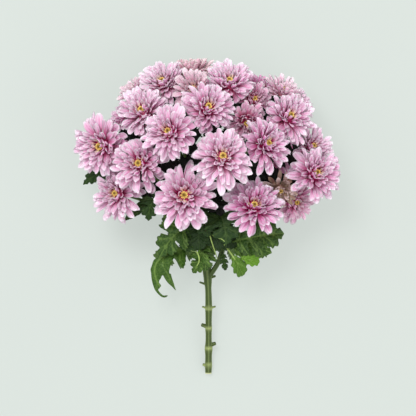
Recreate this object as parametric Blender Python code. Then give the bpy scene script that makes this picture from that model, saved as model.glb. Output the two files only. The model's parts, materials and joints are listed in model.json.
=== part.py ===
"""A cut chrysanthemum stem with many blooms, laid on its side.

+Y runs along the stem, from its cut end to the top of the head. +X is to the right of
the head as it is looked down on, and +Z is up from the surface that it lies on.
Lengths are in millimetres, and each mesh becomes metres as it is made. Places are
first measured from the middle of the head, and the whole is centred at the end.
A bloom's own shape is drawn about its foot, where its stalk ends, with +Z the way that
it faces.
"""

import math
import random
from dataclasses import dataclass

import bmesh
import bpy
from mathutils import Matrix, Vector
from mathutils.geometry import delaunay_2d_cdt

METRES = 0.001
SEED = 5
CLEARANCE = 0.3  # between pieces that rest on each other

# A full bloom, which the smaller ones scale down from
FULL_RADIUS = 28.0
HEART_HEIGHT = 4.0  # the middle of the receptacle, above its foot
RECEPTACLE = ((3.6, 0.0), (5.6, 1.2), (6.4, 3.2), (6.2, 5.4), (5.2, 7.4), (3.8, 8.8))
KEEL_DEPTH = 1.0  # of the ridge under a petal
LEAST_KEEL = 0.75
EDGE_LIFT = 0.5
MANY_PETALS = 9  # in a ring of a bloom over SMALL_BLOOM in radius
FEW_PETALS = 8
SMALL_BLOOM = 26.0
YOUNG_CUP = 1.1  # degrees that petals stand up by, for each millimetre that a bloom is smaller
CUP_SHARES = (1.0, 0.9, 0.6, 0.2)  # for each ring, from the outside in
EYE_PROFILE = ((3.5, 0.0), (2.9, 1.7))
EYE_HEIGHT = 2.5
EYE_SIDES = 6

# How far petals vary, in degrees about the bloom and up and down, and in length
TURN_SPREAD = 2.0
RISE_SPREAD = 2.5
TIP_SPREAD = 4.0
LENGTH_SPREAD = (0.95, 1.03)

# Each bloom gives way to its neighbours inside a cell of flat walls
CELL_GAP = 0.4
CELL_REACH = 1.2  # of both radii: blooms further apart than this don't meet
WALL_LEAN = 4.0  # lets the petals of the bloom in front lie over those behind it
SOFT_SHARE = 0.8  # petals keep their length up to this share of the way to a wall

STEM_RADIUS = 2.9
STEM_SWELL = 0.06  # the share by which the stem swells and shrinks along its nodes
STEM_POINTS = 14
STEM_TAPER_FROM = 7  # the point from which it narrows into the head
STEM_TAPER = 0.05
STEM_SIDES = 8
BRANCH_RADII = (2.3, 2.16, 2.02, 1.88, 1.74, 1.6)
BRANCH_SIDES = 5
STUB_SIDES = 4
STUB_LEAN = (0.35, 0.25)  # forwards and up, for each 1 to the side
STUB_TAPER = 0.8
STALK_RADIUS = 1.3
STALK_SIDES = 5
STALK_ROOM = 3.0  # between a stalk's middle and the petals that it passes behind
PETAL_DROOP = 6.0  # a full bloom's petals reach this far back past its foot
LEAD_SHARE = 0.4  # of the way to its bloom, a stalk is in line with it
FORK_PULL = 0.85  # above 0, stalks leave their branch earlier than at its nearest point
CALYX = ((1.4, -7.5), (3.0, -4.6), (4.3, 0.0))  # (radius, height) under a full bloom
FINE_POINTS = 60  # on a line that others start from
STALKS_FROM = 25  # the first of those on a branch that a stalk may leave

LEAF_THICKNESS = 0.8
STALK_THICKNESS = 1.8
STALK_SHARE = 0.2  # of a leaf's length is its stalk
# One half of a leaf: (share of the length, half width as a share of the length)
LEAF_EDGE = (
    (0.0, 0.018), (0.2, 0.022), (0.23, 0.15), (0.39, 0.24), (0.41, 0.07), (0.47, 0.21),
    (0.65, 0.29), (0.66, 0.09), (0.73, 0.19), (0.88, 0.18), (0.88, 0.07),
)
LEAF_RIB = (0.3, 0.55, 0.8)
LEAF_FOLD = 0.25  # a leaf's halves rise from its rib, then droop
LEAF_DROOP = 1.1
LEAF_WAVE = 0.02
WAVE_TURNS = 9.0


@dataclass
class Ring:
    """A ring of petals: its rise at the root and past the middle, and its sizes."""

    rise: float
    reach: float
    tip_rise: float
    tip_reach: float
    half_width: float
    tip_half_width: float  # 0 gives a pointed tip


RINGS = (
    Ring(-8, 14.5, -18, 8.5, 5.6, 3.0),
    Ring(14, 13.0, 10, 8.0, 5.3, 2.8),
    Ring(38, 10.5, 50, 7.0, 4.4, 0.0),
    Ring(62, 8.0, 98, 5.5, 2.8, 0.0),
)


@dataclass
class Bloom:
    """A bloom: where the middle of its petals is, its radius and the way it faces."""

    place: tuple
    radius: float
    facing: tuple
    branch: str

    @property
    def size(self):
        return self.radius / FULL_RADIUS

    @property
    def cup(self):
        return max(0.0, FULL_RADIUS - self.radius) * YOUNG_CUP

    @property
    def axis(self):
        return Vector(self.facing).normalized()

    @property
    def heart(self):
        return Vector(self.place)

    @property
    def foot(self):
        return self.heart - self.axis * HEART_HEIGHT * self.size

    @property
    def frame(self):
        """Takes the bloom's own points, about its foot, to their places."""
        side, front, axis = basis(self.axis)
        return Matrix.Translation(self.foot) @ Matrix((side, front, axis)).transposed().to_4x4()


# From the front of the head to its rim, and last the three that it lies on
BLOOMS = (
    Bloom((13.0, -9.6, 117), 28.6, (0.04, 0.26, 1), "middle"),
    Bloom((-18.7, -41.2, 104), 30.0, (-0.04, 0.14, 1), "middle"),
    Bloom((39.4, -50.2, 95), 26.6, (0.04, 0.38, 1), "low_right"),
    Bloom((-30.6, 11.6, 110), 25.8, (-0.34, 0.2, 1), "upper_left"),
    Bloom((0.6, 31.6, 103), 25.8, (0.16, 0.38, 1), "top"),
    Bloom((48.4, 1.6, 104), 24.6, (0.62, 0.28, 1), "right"),
    Bloom((-56.0, -14.0, 92), 27.0, (-0.26, 0.08, 1), "left"),
    Bloom((-88.8, 2.0, 76), 28.5, (-0.44, -0.2, 1), "left"),
    Bloom((91.0, -22.4, 79), 25.8, (0.4, 0.25, 1), "low_right"),
    Bloom((68.6, 24.8, 85), 25.0, (0.45, 0.52, 1), "right"),
    Bloom((-53.8, 29.6, 85), 25.5, (-0.32, 0.48, 1), "upper_left"),
    Bloom((-37.0, 55.0, 72), 23.5, (-0.3, 0.5, 1), "upper_left"),
    Bloom((18.5, 53.0, 82), 26.0, (0.08, 0.9, 0.9), "upper_right"),
    Bloom((-11.5, 48.5, 84), 21.0, (-0.1, 0.3, 1), "top"),
    Bloom((39.4, 41.0, 78.5), 18.5, (0.25, 0.1, 1), "upper_right"),
    Bloom((33.0, 21.6, 90), 21.0, (0.05, -0.32, 1), "upper_right"),
    Bloom((-76.0, -39.0, 68), 24.5, (-0.45, 0.1, 1), "left"),
    Bloom((75.0, -45.5, 58), 20.0, (0.45, -0.2, 1), "low_right"),
    Bloom((89.2, 0.8, 63), 20.5, (0.5, 0.35, 1), "right"),
    Bloom((64.0, 47.0, 64), 20.0, (0.5, 0.8, 0.65), "upper_right"),
    Bloom((76.8, 38.6, 50), 18.5, (0.85, 0.65, 0.45), "right"),
    Bloom((-60.0, 48.0, 50), 19.5, (-0.7, 0.8, 0.45), "upper_left"),
    Bloom((-70.0, 27.0, 49), 18.5, (-0.9, 0.4, 0.4), "left"),
    Bloom((-13.0, 64.5, 50), 24.0, (-0.1, 1.0, 0.2), "top"),
    Bloom((62.0, -35.0, 74), 18.0, (0.1, -0.4, 1), "right"),
    Bloom((46.0, 52.0, 38), 19.0, (0.45, 0.9, 0.0), "upper_right"),
    Bloom((-63.0, -12.0, 19.0), 25.5, (-0.85, -0.2, -0.45), "left"),
    Bloom((63.0, -6.0, 18.9), 25.5, (0.85, -0.15, -0.45), "right"),
    Bloom((-2.0, 46.0, 18.1), 24.5, (0.05, 0.85, -0.5), "top"),
)

# The main stem's middle line, from the cut end up into the head
STEM_LINE = (
    (1.2, -198.4, 3.1), (1.4, -174.0, 9.4), (1.4, -152.0, 15.8), (1.4, -131.0, 22.4),
    (0.6, -112.0, 29.0), (-1.0, -95.0, 35.0), (-2.2, -72.0, 43.0), (-1.0, -45.0, 50.0),
    (0.0, -15.0, 55.0), (-1.0, 8.0, 56.0),
)
# Stubs of leaf stalks: (Y on the stem, angle to the side in degrees, length, radius)
STUBS = (
    (-190.0, 180.0, 5.4, 1.3), (-174.0, 8.0, 6.8, 1.7), (-156.8, 172.0, 6.8, 1.7),
    (-138.6, 0.0, 6.6, 0.9), (-139.0, 180.0, 6.2, 0.9), (-117.4, 176.0, 8.2, 0.9),
    (-113.6, 10.0, 7.4, 1.1),
)
# Side branches: the Y where each leaves the stem, and the points that it runs through
BRANCHES = {
    "low_right": (
        -112.0, ((9.4, -99.0, 38.5), (16.0, -83.0, 47.0), (38.0, -62.0, 56.0), (57.0, -44.0, 52.0)),
    ),
    "left": (-84.0, ((-16.0, -64.0, 50.0), (-38.0, -38.0, 54.0), (-60.0, -14.0, 52.0))),
    "right": (-66.0, ((16.0, -44.0, 54.0), (38.0, -18.0, 56.0), (60.0, 6.0, 52.0))),
    "middle": (-58.0, ((-6.0, -44.0, 62.0), (-8.0, -34.0, 72.0))),
    "upper_left": (-48.0, ((-14.0, -22.0, 58.0), (-28.0, 4.0, 60.0), (-42.0, 22.0, 58.0))),
    "upper_right": (-30.0, ((14.0, -6.0, 58.0), (26.0, 14.0, 56.0), (36.0, 28.0, 50.0))),
    "top": (-10.0, ((-1.0, 10.0, 58.0), (-4.0, 26.0, 56.0), (-6.0, 36.0, 54.0))),
}


@dataclass
class Leaf:
    """A leaf: where it leaves a stem, a point that it bends by, its tip and upper side."""

    root: tuple
    bend: tuple
    tip: tuple
    upper: tuple = (0, 0.1, 1)
    width: float = 1.0


LEAVES = (
    # round the foot of the head, the first one long and curled
    Leaf((-2.0, -84.0, 40.0), (-67.0, -90.0, 62.0), (-34.0, -127.0, 36.0), (-0.3, 0.2, 1), 0.6),
    Leaf((-4.0, -66.0, 48.0), (-25.0, -62.0, 78.0), (-41.0, -94.0, 56.0), (-0.2, 0.0, 1), 0.85),
    Leaf((-8.0, -58.0, 48.0), (-26.0, -52.0, 62.0), (-37.0, -70.0, 50.0), (-0.3, 0.2, 1)),
    Leaf((-2.0, -76.0, 42.0), (-3.0, -92.0, 66.0), (-12.0, -107.0, 48.0), (-0.4, 0.0, 1), 1.15),
    Leaf((8.0, -78.0, 46.0), (20.0, -86.0, 70.0), (31.0, -109.0, 52.0), (0.3, 0.1, 1), 1.1),
    Leaf((14.0, -80.0, 48.0), (38.0, -74.0, 74.0), (66.0, -73.0, 58.0), (0.0, 0.2, 1), 1.1),
    Leaf((12.0, -86.0, 44.0), (36.0, -80.0, 58.0), (56.0, -90.0, 42.0), (0.3, 0.0, 1), 0.9),
    Leaf((2.0, -46.0, 52.0), (18.0, -56.0, 82.0), (16.0, -83.0, 66.0), width=1.1),
    Leaf((-4.0, -46.0, 52.0), (-3.0, -56.0, 78.0), (1.0, -76.0, 66.0), (-0.1, 0.1, 1), 1.1),
    # showing past the blooms at the left
    Leaf((-60.0, -14.0, 48.0), (-90.0, -14.0, 56.0), (-107.0, -31.0, 44.0), (-0.3, -0.2, 1)),
    Leaf((-34.0, -40.0, 52.0), (-50.0, -40.0, 72.0), (-50.0, -62.0, 58.0), (0.0, -0.2, 1)),
    Leaf((-36.0, -38.0, 50.0), (-58.0, -48.0, 60.0), (-71.0, -62.0, 54.0), (0.0, -0.3, 1), 0.7),
    # inside the head, behind the gaps between blooms
    Leaf((-8.0, -30.0, 64.0), (-20.0, -18.0, 82.0), (-36.0, -14.0, 72.0)),
    Leaf((20.0, -30.0, 54.0), (36.0, -14.0, 76.0), (57.0, -9.0, 65.0)),
    Leaf((-4.0, 8.0, 56.0), (-14.0, 14.0, 78.0), (-20.0, 30.0, 74.0), (0.0, 0.0, 1), 1.3),
    Leaf((-20.0, 8.0, 58.0), (-28.0, 26.0, 68.0), (-28.0, 50.0, 56.0), (0.0, 0.0, 1), 1.1),
    Leaf((-40.0, 2.0, 54.0), (-56.0, 7.0, 66.0), (-66.0, 9.0, 64.0), (0.0, 0.0, 1), 1.2),
    # hanging below the branches
    Leaf((-4.0, -82.0, 36.0), (-28.0, -84.0, 26.0), (-46.0, -104.0, 16.0), (-0.3, 0.2, -1)),
    Leaf((10.0, -78.0, 36.0), (26.0, -76.0, 24.0), (44.0, -94.0, 14.0), (0.3, 0.2, -1)),
    Leaf((0.0, -62.0, 44.0), (2.0, -68.0, 22.0), (4.0, -96.0, 12.0), (0.1, 0.2, -1)),
    Leaf((-14.0, -24.0, 50.0), (-22.0, -34.0, 30.0), (-36.0, -56.0, 16.0), (-0.3, 0.1, -1)),
    Leaf((20.0, -28.0, 48.0), (28.0, -40.0, 28.0), (42.0, -62.0, 16.0), (0.3, 0.1, -1)),
)


def clear_scene():
    for found in list(bpy.data.objects):
        bpy.data.objects.remove(found, do_unlink=True)


def material(name, colour, roughness):
    made = bpy.data.materials.new(name)
    made.use_nodes = True
    shader = made.node_tree.nodes["Principled BSDF"]
    shader.inputs["Base Color"].default_value = (*colour, 1.0)
    shader.inputs["Roughness"].default_value = roughness
    return made


def solid(name, points, faces, finish, frame=None):
    """An object placed by its frame, from points in it in millimetres, facing outwards."""
    mesh = bpy.data.meshes.new(name)
    mesh.from_pydata([Vector(p) * METRES for p in points], [], faces)
    shape = bmesh.new()
    shape.from_mesh(mesh)
    bmesh.ops.recalc_face_normals(shape, faces=shape.faces)
    shape.to_mesh(mesh)
    shape.free()
    mesh.materials.append(finish)
    made = bpy.data.objects.new(name, mesh)
    bpy.context.scene.collection.objects.link(made)
    if frame is not None:
        made.location = frame.translation * METRES
        made.rotation_euler = frame.to_euler()
    return made


def basis(axis, upper=None):
    """(side, front, axis) at right angles, with front as near to upper as it can be."""
    if upper is None:
        upper = Vector((1, 0, 0)) if abs(axis.x) < 0.8 else Vector((0, 1, 0))
    side = Vector(upper).cross(axis).normalized()
    return side, axis.cross(side).normalized(), axis


def cell_walls(bloom):
    """The flat walls between this bloom and what is near it: (direction, distance)."""
    walls = [(Vector((0, 0, -1)), bloom.heart.z)]
    for other in BLOOMS:
        apart = other.heart - bloom.heart
        if other is bloom or apart.length > CELL_REACH * (bloom.radius + other.radius):
            continue
        facing = (bloom.axis + other.axis) / 2
        leaning = apart + facing * facing.dot(apart) * (WALL_LEAN - 1)
        share = bloom.radius / (bloom.radius + other.radius)
        toward = leaning.normalized()
        walls.append((toward, apart.dot(toward) * share - CELL_GAP))
    return walls


def fit_to_cell(point, bloom, walls):
    """Draws a point in towards the heart of its bloom, so that it stays inside the walls."""
    out = point - bloom.heart
    distance = out.length
    if distance < 1e-6:
        return point
    way = out / distance
    limit = min(reach / max(way.dot(toward), 1e-6) for toward, reach in walls)
    soft = SOFT_SHARE * limit
    if distance > soft:
        spare = limit - soft
        distance = soft + spare * (1 - math.exp(-(distance - soft) / spare))
    return bloom.heart + way * distance


def upwards(angle, radial):
    """The direction that rises by an angle from one that points away from the axis."""
    return radial * math.cos(angle) + Vector((0, 0, math.sin(angle)))


def petal_points(root, ring, angle, scale, cup, draw):
    """The middle and tip of a petal that stands out from the middle of its root."""
    turn = angle + math.radians(draw.uniform(-TURN_SPREAD, TURN_SPREAD))
    radial = Vector((math.cos(turn), math.sin(turn), 0))
    across = Vector((-math.sin(turn), math.cos(turn), 0))
    rise = math.radians(ring.rise + cup + draw.uniform(-RISE_SPREAD, RISE_SPREAD))
    tip_rise = math.radians(ring.tip_rise + cup + draw.uniform(-TIP_SPREAD, TIP_SPREAD))
    stretch = scale * draw.uniform(*LENGTH_SPREAD)
    upper = upwards(rise + math.pi / 2, radial)
    middle = root + upwards(rise, radial) * ring.reach * stretch
    half = across * ring.half_width * scale
    points = [
        middle - half + upper * EDGE_LIFT,
        middle + half + upper * EDGE_LIFT,
        middle - upper * max(KEEL_DEPTH * scale, LEAST_KEEL),
    ]
    tip = middle + upwards(tip_rise, radial) * ring.tip_reach * stretch
    if ring.tip_half_width:
        tip_half = across * ring.tip_half_width * scale
        return points + [tip - tip_half, tip + tip_half]
    return points + [tip]


def petal_faces(bottom, left, right, top, first, blunt):
    """A petal drawn out of one four-sided patch of the receptacle."""
    edge_l, edge_r, keel, tip_l = first, first + 1, first + 2, first + 3
    faces = [
        (top, left, edge_l), (top, edge_l, edge_r), (top, edge_r, right),
        (left, bottom, keel, edge_l), (bottom, right, edge_r, keel),
    ]
    if not blunt:
        return faces + [(edge_l, tip_l, edge_r), (edge_l, keel, tip_l), (keel, edge_r, tip_l)]
    tip_r = first + 4
    return faces + [
        (edge_l, tip_l, tip_r, edge_r), (edge_l, keel, tip_l), (keel, tip_r, tip_l),
        (keel, edge_r, tip_r),
    ]


def circle(radius, height, count, turn=0.0):
    """Points round the axis, the first turned by a share of a step."""
    angles = [math.tau * (i + turn) / count for i in range(count)]
    return [Vector((radius * math.cos(a), radius * math.sin(a), height)) for a in angles]


def make_bloom(name, bloom, finish, draw):
    """Rings of petals drawn out of the lozenges of a receptacle, each ring half a step on."""
    count = MANY_PETALS if bloom.radius > SMALL_BLOOM else FEW_PETALS
    scale = bloom.size
    points, faces = [], []
    for level, (radius, height) in enumerate(RECEPTACLE):
        points += circle(radius * scale, height * scale, count, 0.5 * (level % 2))

    def ring_point(level, i):
        return level * count + i % count

    for row, ring in enumerate(RINGS):
        odd = row % 2
        for i in range(count):
            bottom, top = ring_point(row, i), ring_point(row + 2, i)
            left, right = ring_point(row + 1, i - 1 + odd), ring_point(row + 1, i + odd)
            root = sum((points[k] for k in (bottom, left, right, top)), Vector()) / 4
            angle = (i + 0.5 * odd) * math.tau / count
            faces += petal_faces(bottom, left, right, top, len(points), bool(ring.tip_half_width))
            points += petal_points(root, ring, angle, scale, bloom.cup * CUP_SHARES[row], draw)
    last = len(RECEPTACLE) - 1
    for i in range(count):
        faces.append((ring_point(0, i), ring_point(0, i + 1), ring_point(1, i)))
        faces.append((ring_point(last, i), ring_point(last, i + 1), ring_point(last - 1, i + 1)))
    faces.append([ring_point(0, i) for i in range(count)])
    faces.append([ring_point(last, i) for i in range(count)])

    frame, walls = bloom.frame, cell_walls(bloom)
    home = frame.inverted()
    fitted = [home @ fit_to_cell(frame @ point, bloom, walls) for point in points]
    return solid(name, fitted, faces, finish, frame)


def make_eye(name, bloom, finish):
    """The low dome of disc florets on top of the receptacle."""
    seat = RECEPTACLE[-1][1] * bloom.size + CLEARANCE
    points = []
    for radius, height in EYE_PROFILE:
        points += circle(radius * bloom.size, seat + height * bloom.size, EYE_SIDES)
    points.append(Vector((0, 0, seat + EYE_HEIGHT * bloom.size)))
    faces = [tuple(range(EYE_SIDES))]
    for i in range(EYE_SIDES):
        j = (i + 1) % EYE_SIDES
        faces.append((i, j, EYE_SIDES + j, EYE_SIDES + i))
        faces.append((EYE_SIDES + i, EYE_SIDES + j, 2 * EYE_SIDES))
    return solid(name, points, faces, finish, bloom.frame)


def smooth_line(corners, count):
    """Points spaced along a smooth curve through the corners."""
    corners = [Vector(c) for c in corners]
    padded = [2 * corners[0] - corners[1], *corners, 2 * corners[-1] - corners[-2]]
    line = []
    for k in range(count):
        place = k / (count - 1) * (len(corners) - 1)
        i = min(int(place), len(corners) - 2)
        t = place - i
        a, b, c, d = padded[i : i + 4]
        squared = (2 * a - 5 * b + 4 * c - d) * t**2
        cubed = (3 * b - a - 3 * c + d) * t**3
        line.append(0.5 * (2 * b + (c - a) * t + squared + cubed))
    return line


def make_tube(name, line, radii, sides, finish):
    """A closed round tube along a line, with one radius for each point."""
    points, faces = [], []
    front = None
    for k, centre in enumerate(line):
        ahead = line[min(k + 1, len(line) - 1)] - line[max(k - 1, 0)]
        side, front, _ = basis(ahead.normalized(), front)
        points += [centre + side * p.x + front * p.y for p in circle(radii[k], 0, sides)]
    for k in range(len(line) - 1):
        for i in range(sides):
            j = (i + 1) % sides
            faces.append((k * sides + i, k * sides + j, (k + 1) * sides + j, (k + 1) * sides + i))
    faces.append(tuple(range(sides)))
    faces.append(tuple(range(len(points) - sides, len(points))))
    return solid(name, points, faces, finish)


def behind_blooms(point, own):
    """Moves a point of a stalk back until it is behind the petals near it."""
    for bloom in BLOOMS:
        if bloom is own:
            continue
        away = point - bloom.foot
        height = away.dot(bloom.axis)
        beside = (away - bloom.axis * height).length
        depth = PETAL_DROOP * bloom.size + STALK_ROOM
        if beside < bloom.radius + STALK_ROOM and -depth < height < bloom.radius:
            point = point - bloom.axis * (height + depth)
    return point


def stalk_line(bloom, branch_line):
    """The stalk from its branch to the foot of the bloom, ending square to the bloom."""
    under = bloom.foot + bloom.axis * CALYX[0][1] * bloom.size
    root = branch_line[0]
    start = min(branch_line, key=lambda p: (p - under).length + FORK_PULL * (p - root).length)
    lead = under - bloom.axis * LEAD_SHARE * (under - start).length
    return [start, behind_blooms(lead, bloom), under]


def make_stalk(bloom, branch_line, finish):
    """A bloom's stalk, which widens into the calyx under its receptacle."""
    line = stalk_line(bloom, branch_line)
    radii = [STALK_RADIUS] * len(line)
    for radius, height in CALYX[1:]:
        line.append(bloom.foot + bloom.axis * (height * bloom.size - CLEARANCE))
        radii.append(radius * bloom.size)
    return make_tube("stalk", line, radii, STALK_SIDES, finish)


def nearest(lines, point):
    """The point of all these lines that is nearest to the one given."""
    return min((p for line in lines for p in line), key=lambda p: (p - Vector(point)).length)


def blade_sheet():
    """The flat leaf cut into triangles: its points as (along, across) and its triangles."""
    edge = [Vector(p) for p in LEAF_EDGE]
    outline = edge + [Vector((1.0, 0.0))] + [Vector((p.x, -p.y)) for p in reversed(edge)]
    rib = [Vector((along, 0.0)) for along in LEAF_RIB]
    whole = [tuple(range(len(outline)))]
    points, _, faces, _, _, _ = delaunay_2d_cdt(outline + rib, [], whole, 1, 1e-5)
    return points, faces, len(outline)


def make_leaf(leaf, finish, lines, draw):
    """A lobed blade, folded along its rib, whose narrow start is its stalk."""
    root, bend, tip = nearest(lines, leaf.root), Vector(leaf.bend), Vector(leaf.tip)
    length = 0.5 * ((bend - root).length + (tip - bend).length + (tip - root).length)
    sheet, triangles, rim = blade_sheet()
    phase = draw.uniform(0, math.tau)
    upper_points, lower_points = [], []
    for t, across in sheet:
        centre = (1 - t) ** 2 * root + 2 * t * (1 - t) * bend + t * t * tip
        ahead = (1 - t) * (bend - root) + t * (tip - bend)
        side, upward, _ = basis(ahead.normalized(), Vector(leaf.upper))
        wave = LEAF_WAVE * math.sin(WAVE_TURNS * t + phase) if across else 0.0
        lift = LEAF_FOLD * abs(across) - LEAF_DROOP * across * across + wave
        point = centre + (side * across * leaf.width + upward * lift) * length
        half = (STALK_THICKNESS if t <= STALK_SHARE else LEAF_THICKNESS) / 2
        upper_points.append(point + upward * half)
        lower_points.append(point - upward * half)
    count = len(sheet)
    faces = [tuple(face) for face in triangles]
    faces += [tuple(count + k for k in reversed(face)) for face in triangles]
    for k in range(rim):
        j = (k + 1) % rim
        faces.append((k, j, count + j))
        faces.append((k, count + j, count + k))
    return solid("leaf", upper_points + lower_points, faces, finish)


def stem_radius(k):
    """The main stem's radius at one of its points."""
    taper = 1 - STEM_TAPER * max(k - STEM_TAPER_FROM, 0)
    return STEM_RADIUS * (1 + STEM_SWELL * math.sin(2 * k)) * taper


def make_stub(start, angle, length, radius, finish):
    """What is left of a leaf stalk that was picked off."""
    side = math.radians(angle)
    way = Vector((math.cos(side), *STUB_LEAN)).normalized()
    line = [start, start + way * length]
    return make_tube("stub", line, (radius, STUB_TAPER * radius), STUB_SIDES, finish)


def make_greenery(finish, draw):
    """The main stem, its branches, stalks, calyxes, stubs and leaves, all one solid."""
    radii = [stem_radius(k) for k in range(STEM_POINTS)]
    stem = smooth_line(STEM_LINE, FINE_POINTS)
    pieces = [make_tube("leafy_stem", smooth_line(STEM_LINE, STEM_POINTS), radii, STEM_SIDES, finish)]

    def on_stem(along):
        return min(stem, key=lambda p: abs(p.y - along))

    for along, *shape in STUBS:
        pieces.append(make_stub(on_stem(along), *shape, finish))
    branches = {}
    for name, (along, corners) in BRANCHES.items():
        route = [on_stem(along), *corners]
        branches[name] = smooth_line(route, FINE_POINTS)
        line = smooth_line(route, len(BRANCH_RADII))
        pieces.append(make_tube("branch", line, BRANCH_RADII, BRANCH_SIDES, finish))
    for bloom in BLOOMS:
        pieces.append(make_stalk(bloom, branches[bloom.branch][STALKS_FROM:], finish))
    for leaf in LEAVES:
        pieces.append(make_leaf(leaf, finish, [*branches.values(), stem], draw))
    return fused(pieces)


def fused(pieces):
    """The first piece with all the others joined to it."""
    whole, *others = pieces
    group = bpy.data.collections.new("others")
    for piece in others:
        group.objects.link(piece)
    joining = whole.modifiers.new("join", "BOOLEAN")
    joining.operation = "UNION"
    joining.operand_type = "COLLECTION"
    joining.collection = group
    joining.solver = "MANIFOLD"
    joined = whole.evaluated_get(bpy.context.evaluated_depsgraph_get())
    mesh = bpy.data.meshes.new_from_object(joined)
    whole.modifiers.clear()
    whole.data = mesh
    for piece in others:
        bpy.data.objects.remove(piece, do_unlink=True)
    bpy.data.collections.remove(group)
    return whole


def centre_on_origin(nodes):
    """Moves every node so that the origin is under the middle of the whole."""
    bpy.context.view_layer.update()
    corners = [node.matrix_world @ vertex.co for node in nodes for vertex in node.data.vertices]
    lowest = Vector([min(corner[axis] for corner in corners) for axis in range(3)])
    highest = Vector([max(corner[axis] for corner in corners) for axis in range(3)])
    middle = (lowest + highest) / 2
    for node in nodes:
        node.location -= Vector((middle.x, middle.y, lowest.z))


def main():
    clear_scene()
    draw = random.Random(SEED)
    pink = material("petal", (0.72, 0.4, 0.6), 0.6)
    yellow = material("eye", (0.55, 0.45, 0.04), 0.7)
    green = material("leafy_stem", (0.07, 0.16, 0.03), 0.55)
    nodes = [make_greenery(green, draw)]
    for number, bloom in enumerate(BLOOMS, 1):
        nodes.append(make_bloom(f"bloom_{number:02d}", bloom, pink, draw))
        nodes.append(make_eye(f"eye_{number:02d}", bloom, yellow))
    centre_on_origin(nodes)


main()
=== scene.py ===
import json
import math
import random
from types import SimpleNamespace

import bpy
import numpy as np
from mathutils import Matrix, Vector
from mathutils.geometry import delaunay_2d_cdt

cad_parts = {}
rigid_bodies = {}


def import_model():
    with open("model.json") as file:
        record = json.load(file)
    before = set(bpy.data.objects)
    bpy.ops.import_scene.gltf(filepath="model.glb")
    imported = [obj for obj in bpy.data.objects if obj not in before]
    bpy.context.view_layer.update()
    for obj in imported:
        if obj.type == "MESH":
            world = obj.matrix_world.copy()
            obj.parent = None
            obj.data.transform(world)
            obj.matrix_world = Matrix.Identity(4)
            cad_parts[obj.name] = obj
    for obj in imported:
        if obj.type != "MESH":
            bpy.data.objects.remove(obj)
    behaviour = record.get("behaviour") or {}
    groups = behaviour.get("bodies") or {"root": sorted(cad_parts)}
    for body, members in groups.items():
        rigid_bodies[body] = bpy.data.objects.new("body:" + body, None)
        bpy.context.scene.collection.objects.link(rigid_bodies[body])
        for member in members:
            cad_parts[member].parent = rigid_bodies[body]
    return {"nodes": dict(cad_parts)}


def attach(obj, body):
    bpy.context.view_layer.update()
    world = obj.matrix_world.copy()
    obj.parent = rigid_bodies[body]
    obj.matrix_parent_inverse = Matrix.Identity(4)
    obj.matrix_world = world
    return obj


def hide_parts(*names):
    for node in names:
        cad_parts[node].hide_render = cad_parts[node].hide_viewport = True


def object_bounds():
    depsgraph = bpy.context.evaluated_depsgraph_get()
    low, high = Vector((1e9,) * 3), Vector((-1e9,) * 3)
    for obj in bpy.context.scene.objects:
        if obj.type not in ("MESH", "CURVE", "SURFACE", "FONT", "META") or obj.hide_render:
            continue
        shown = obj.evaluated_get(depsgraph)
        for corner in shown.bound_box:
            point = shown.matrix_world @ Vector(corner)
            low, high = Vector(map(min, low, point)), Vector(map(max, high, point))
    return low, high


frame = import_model()
cadLow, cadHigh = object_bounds()
mm = 0.001
goldenAngle = math.pi * (3 - math.sqrt(5))

# node tree helpers


def plug(tree, value, socket):
    # joins a field or an output to a socket, or sets the socket's own value
    if isinstance(value, Field):
        tree.links.new(value.socket, socket)
    elif isinstance(value, bpy.types.NodeSocket):
        tree.links.new(value, socket)
    elif value is not None:
        socket.default_value = value


def addNode(tree, kind, inputs=None, **settings):
    node = tree.nodes.new(kind)
    for key, value in settings.items():
        setattr(node, key, value)
    for key, value in (inputs or {}).items():
        plug(tree, value, node.inputs[key])
    return node


class Field:
    # one output of a node tree: Python's operators join fields with Math nodes

    def __init__(self, tree, socket):
        self.tree = tree
        self.socket = socket

    def math(self, operation, *others):
        node = addNode(self.tree, "ShaderNodeMath", operation=operation)
        for socket, value in zip(node.inputs, (self, *others)):
            plug(self.tree, value, socket)
        return Field(self.tree, node.outputs[0])

    def __add__(self, other):
        return self.math("ADD", other)

    def __sub__(self, other):
        return self.math("SUBTRACT", other)

    def __rsub__(self, other):
        return self.math("MULTIPLY", -1.0).math("ADD", other)

    def __mul__(self, other):
        return self.math("MULTIPLY", other)

    def __truediv__(self, other):
        return self.math("DIVIDE", other)

    def __pow__(self, other):
        return self.math("POWER", other)

    __radd__ = __add__
    __rmul__ = __mul__

    def sine(self):
        return self.math("SINE")

    def cosine(self):
        return self.math("COSINE")

    def unsigned(self):
        return self.math("ABSOLUTE")

    def ramp(self, low, high, start=0.0, end=1.0):
        # eases from start to end while the field goes from low to high
        values = {"Value": self, "From Min": low, "From Max": high, "To Min": start, "To Max": end}
        node = addNode(self.tree, "ShaderNodeMapRange", values, interpolation_type="SMOOTHSTEP")
        return Field(self.tree, node.outputs[0])

    def curve(self, points):
        # a smooth curve through (place, value) points
        low, high = min(y for _, y in points), max(y for _, y in points)
        spread = (high - low) or 1.0
        node = addNode(self.tree, "ShaderNodeFloatCurve", {"Value": self})
        line = node.mapping.curves[0]
        scaled = [(x, (y - low) / spread) for x, y in points]
        line.points[0].location = scaled[0]
        line.points[-1].location = scaled[-1]
        for place in scaled[1:-1]:
            line.points.new(*place)
        node.mapping.update()
        return Field(self.tree, node.outputs[0]) * spread + low


def combine(tree, x, y, z):
    node = addNode(tree, "ShaderNodeCombineXYZ", {"X": x, "Y": y, "Z": z})
    return Field(tree, node.outputs[0])


def vectorMath(tree, operation, *values, scale=None):
    node = addNode(tree, "ShaderNodeVectorMath", operation=operation)
    for socket, value in zip(node.inputs, values):
        plug(tree, value, socket)
    if scale is not None:
        plug(tree, scale, node.inputs["Scale"])
    return Field(tree, node.outputs[0])


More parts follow.
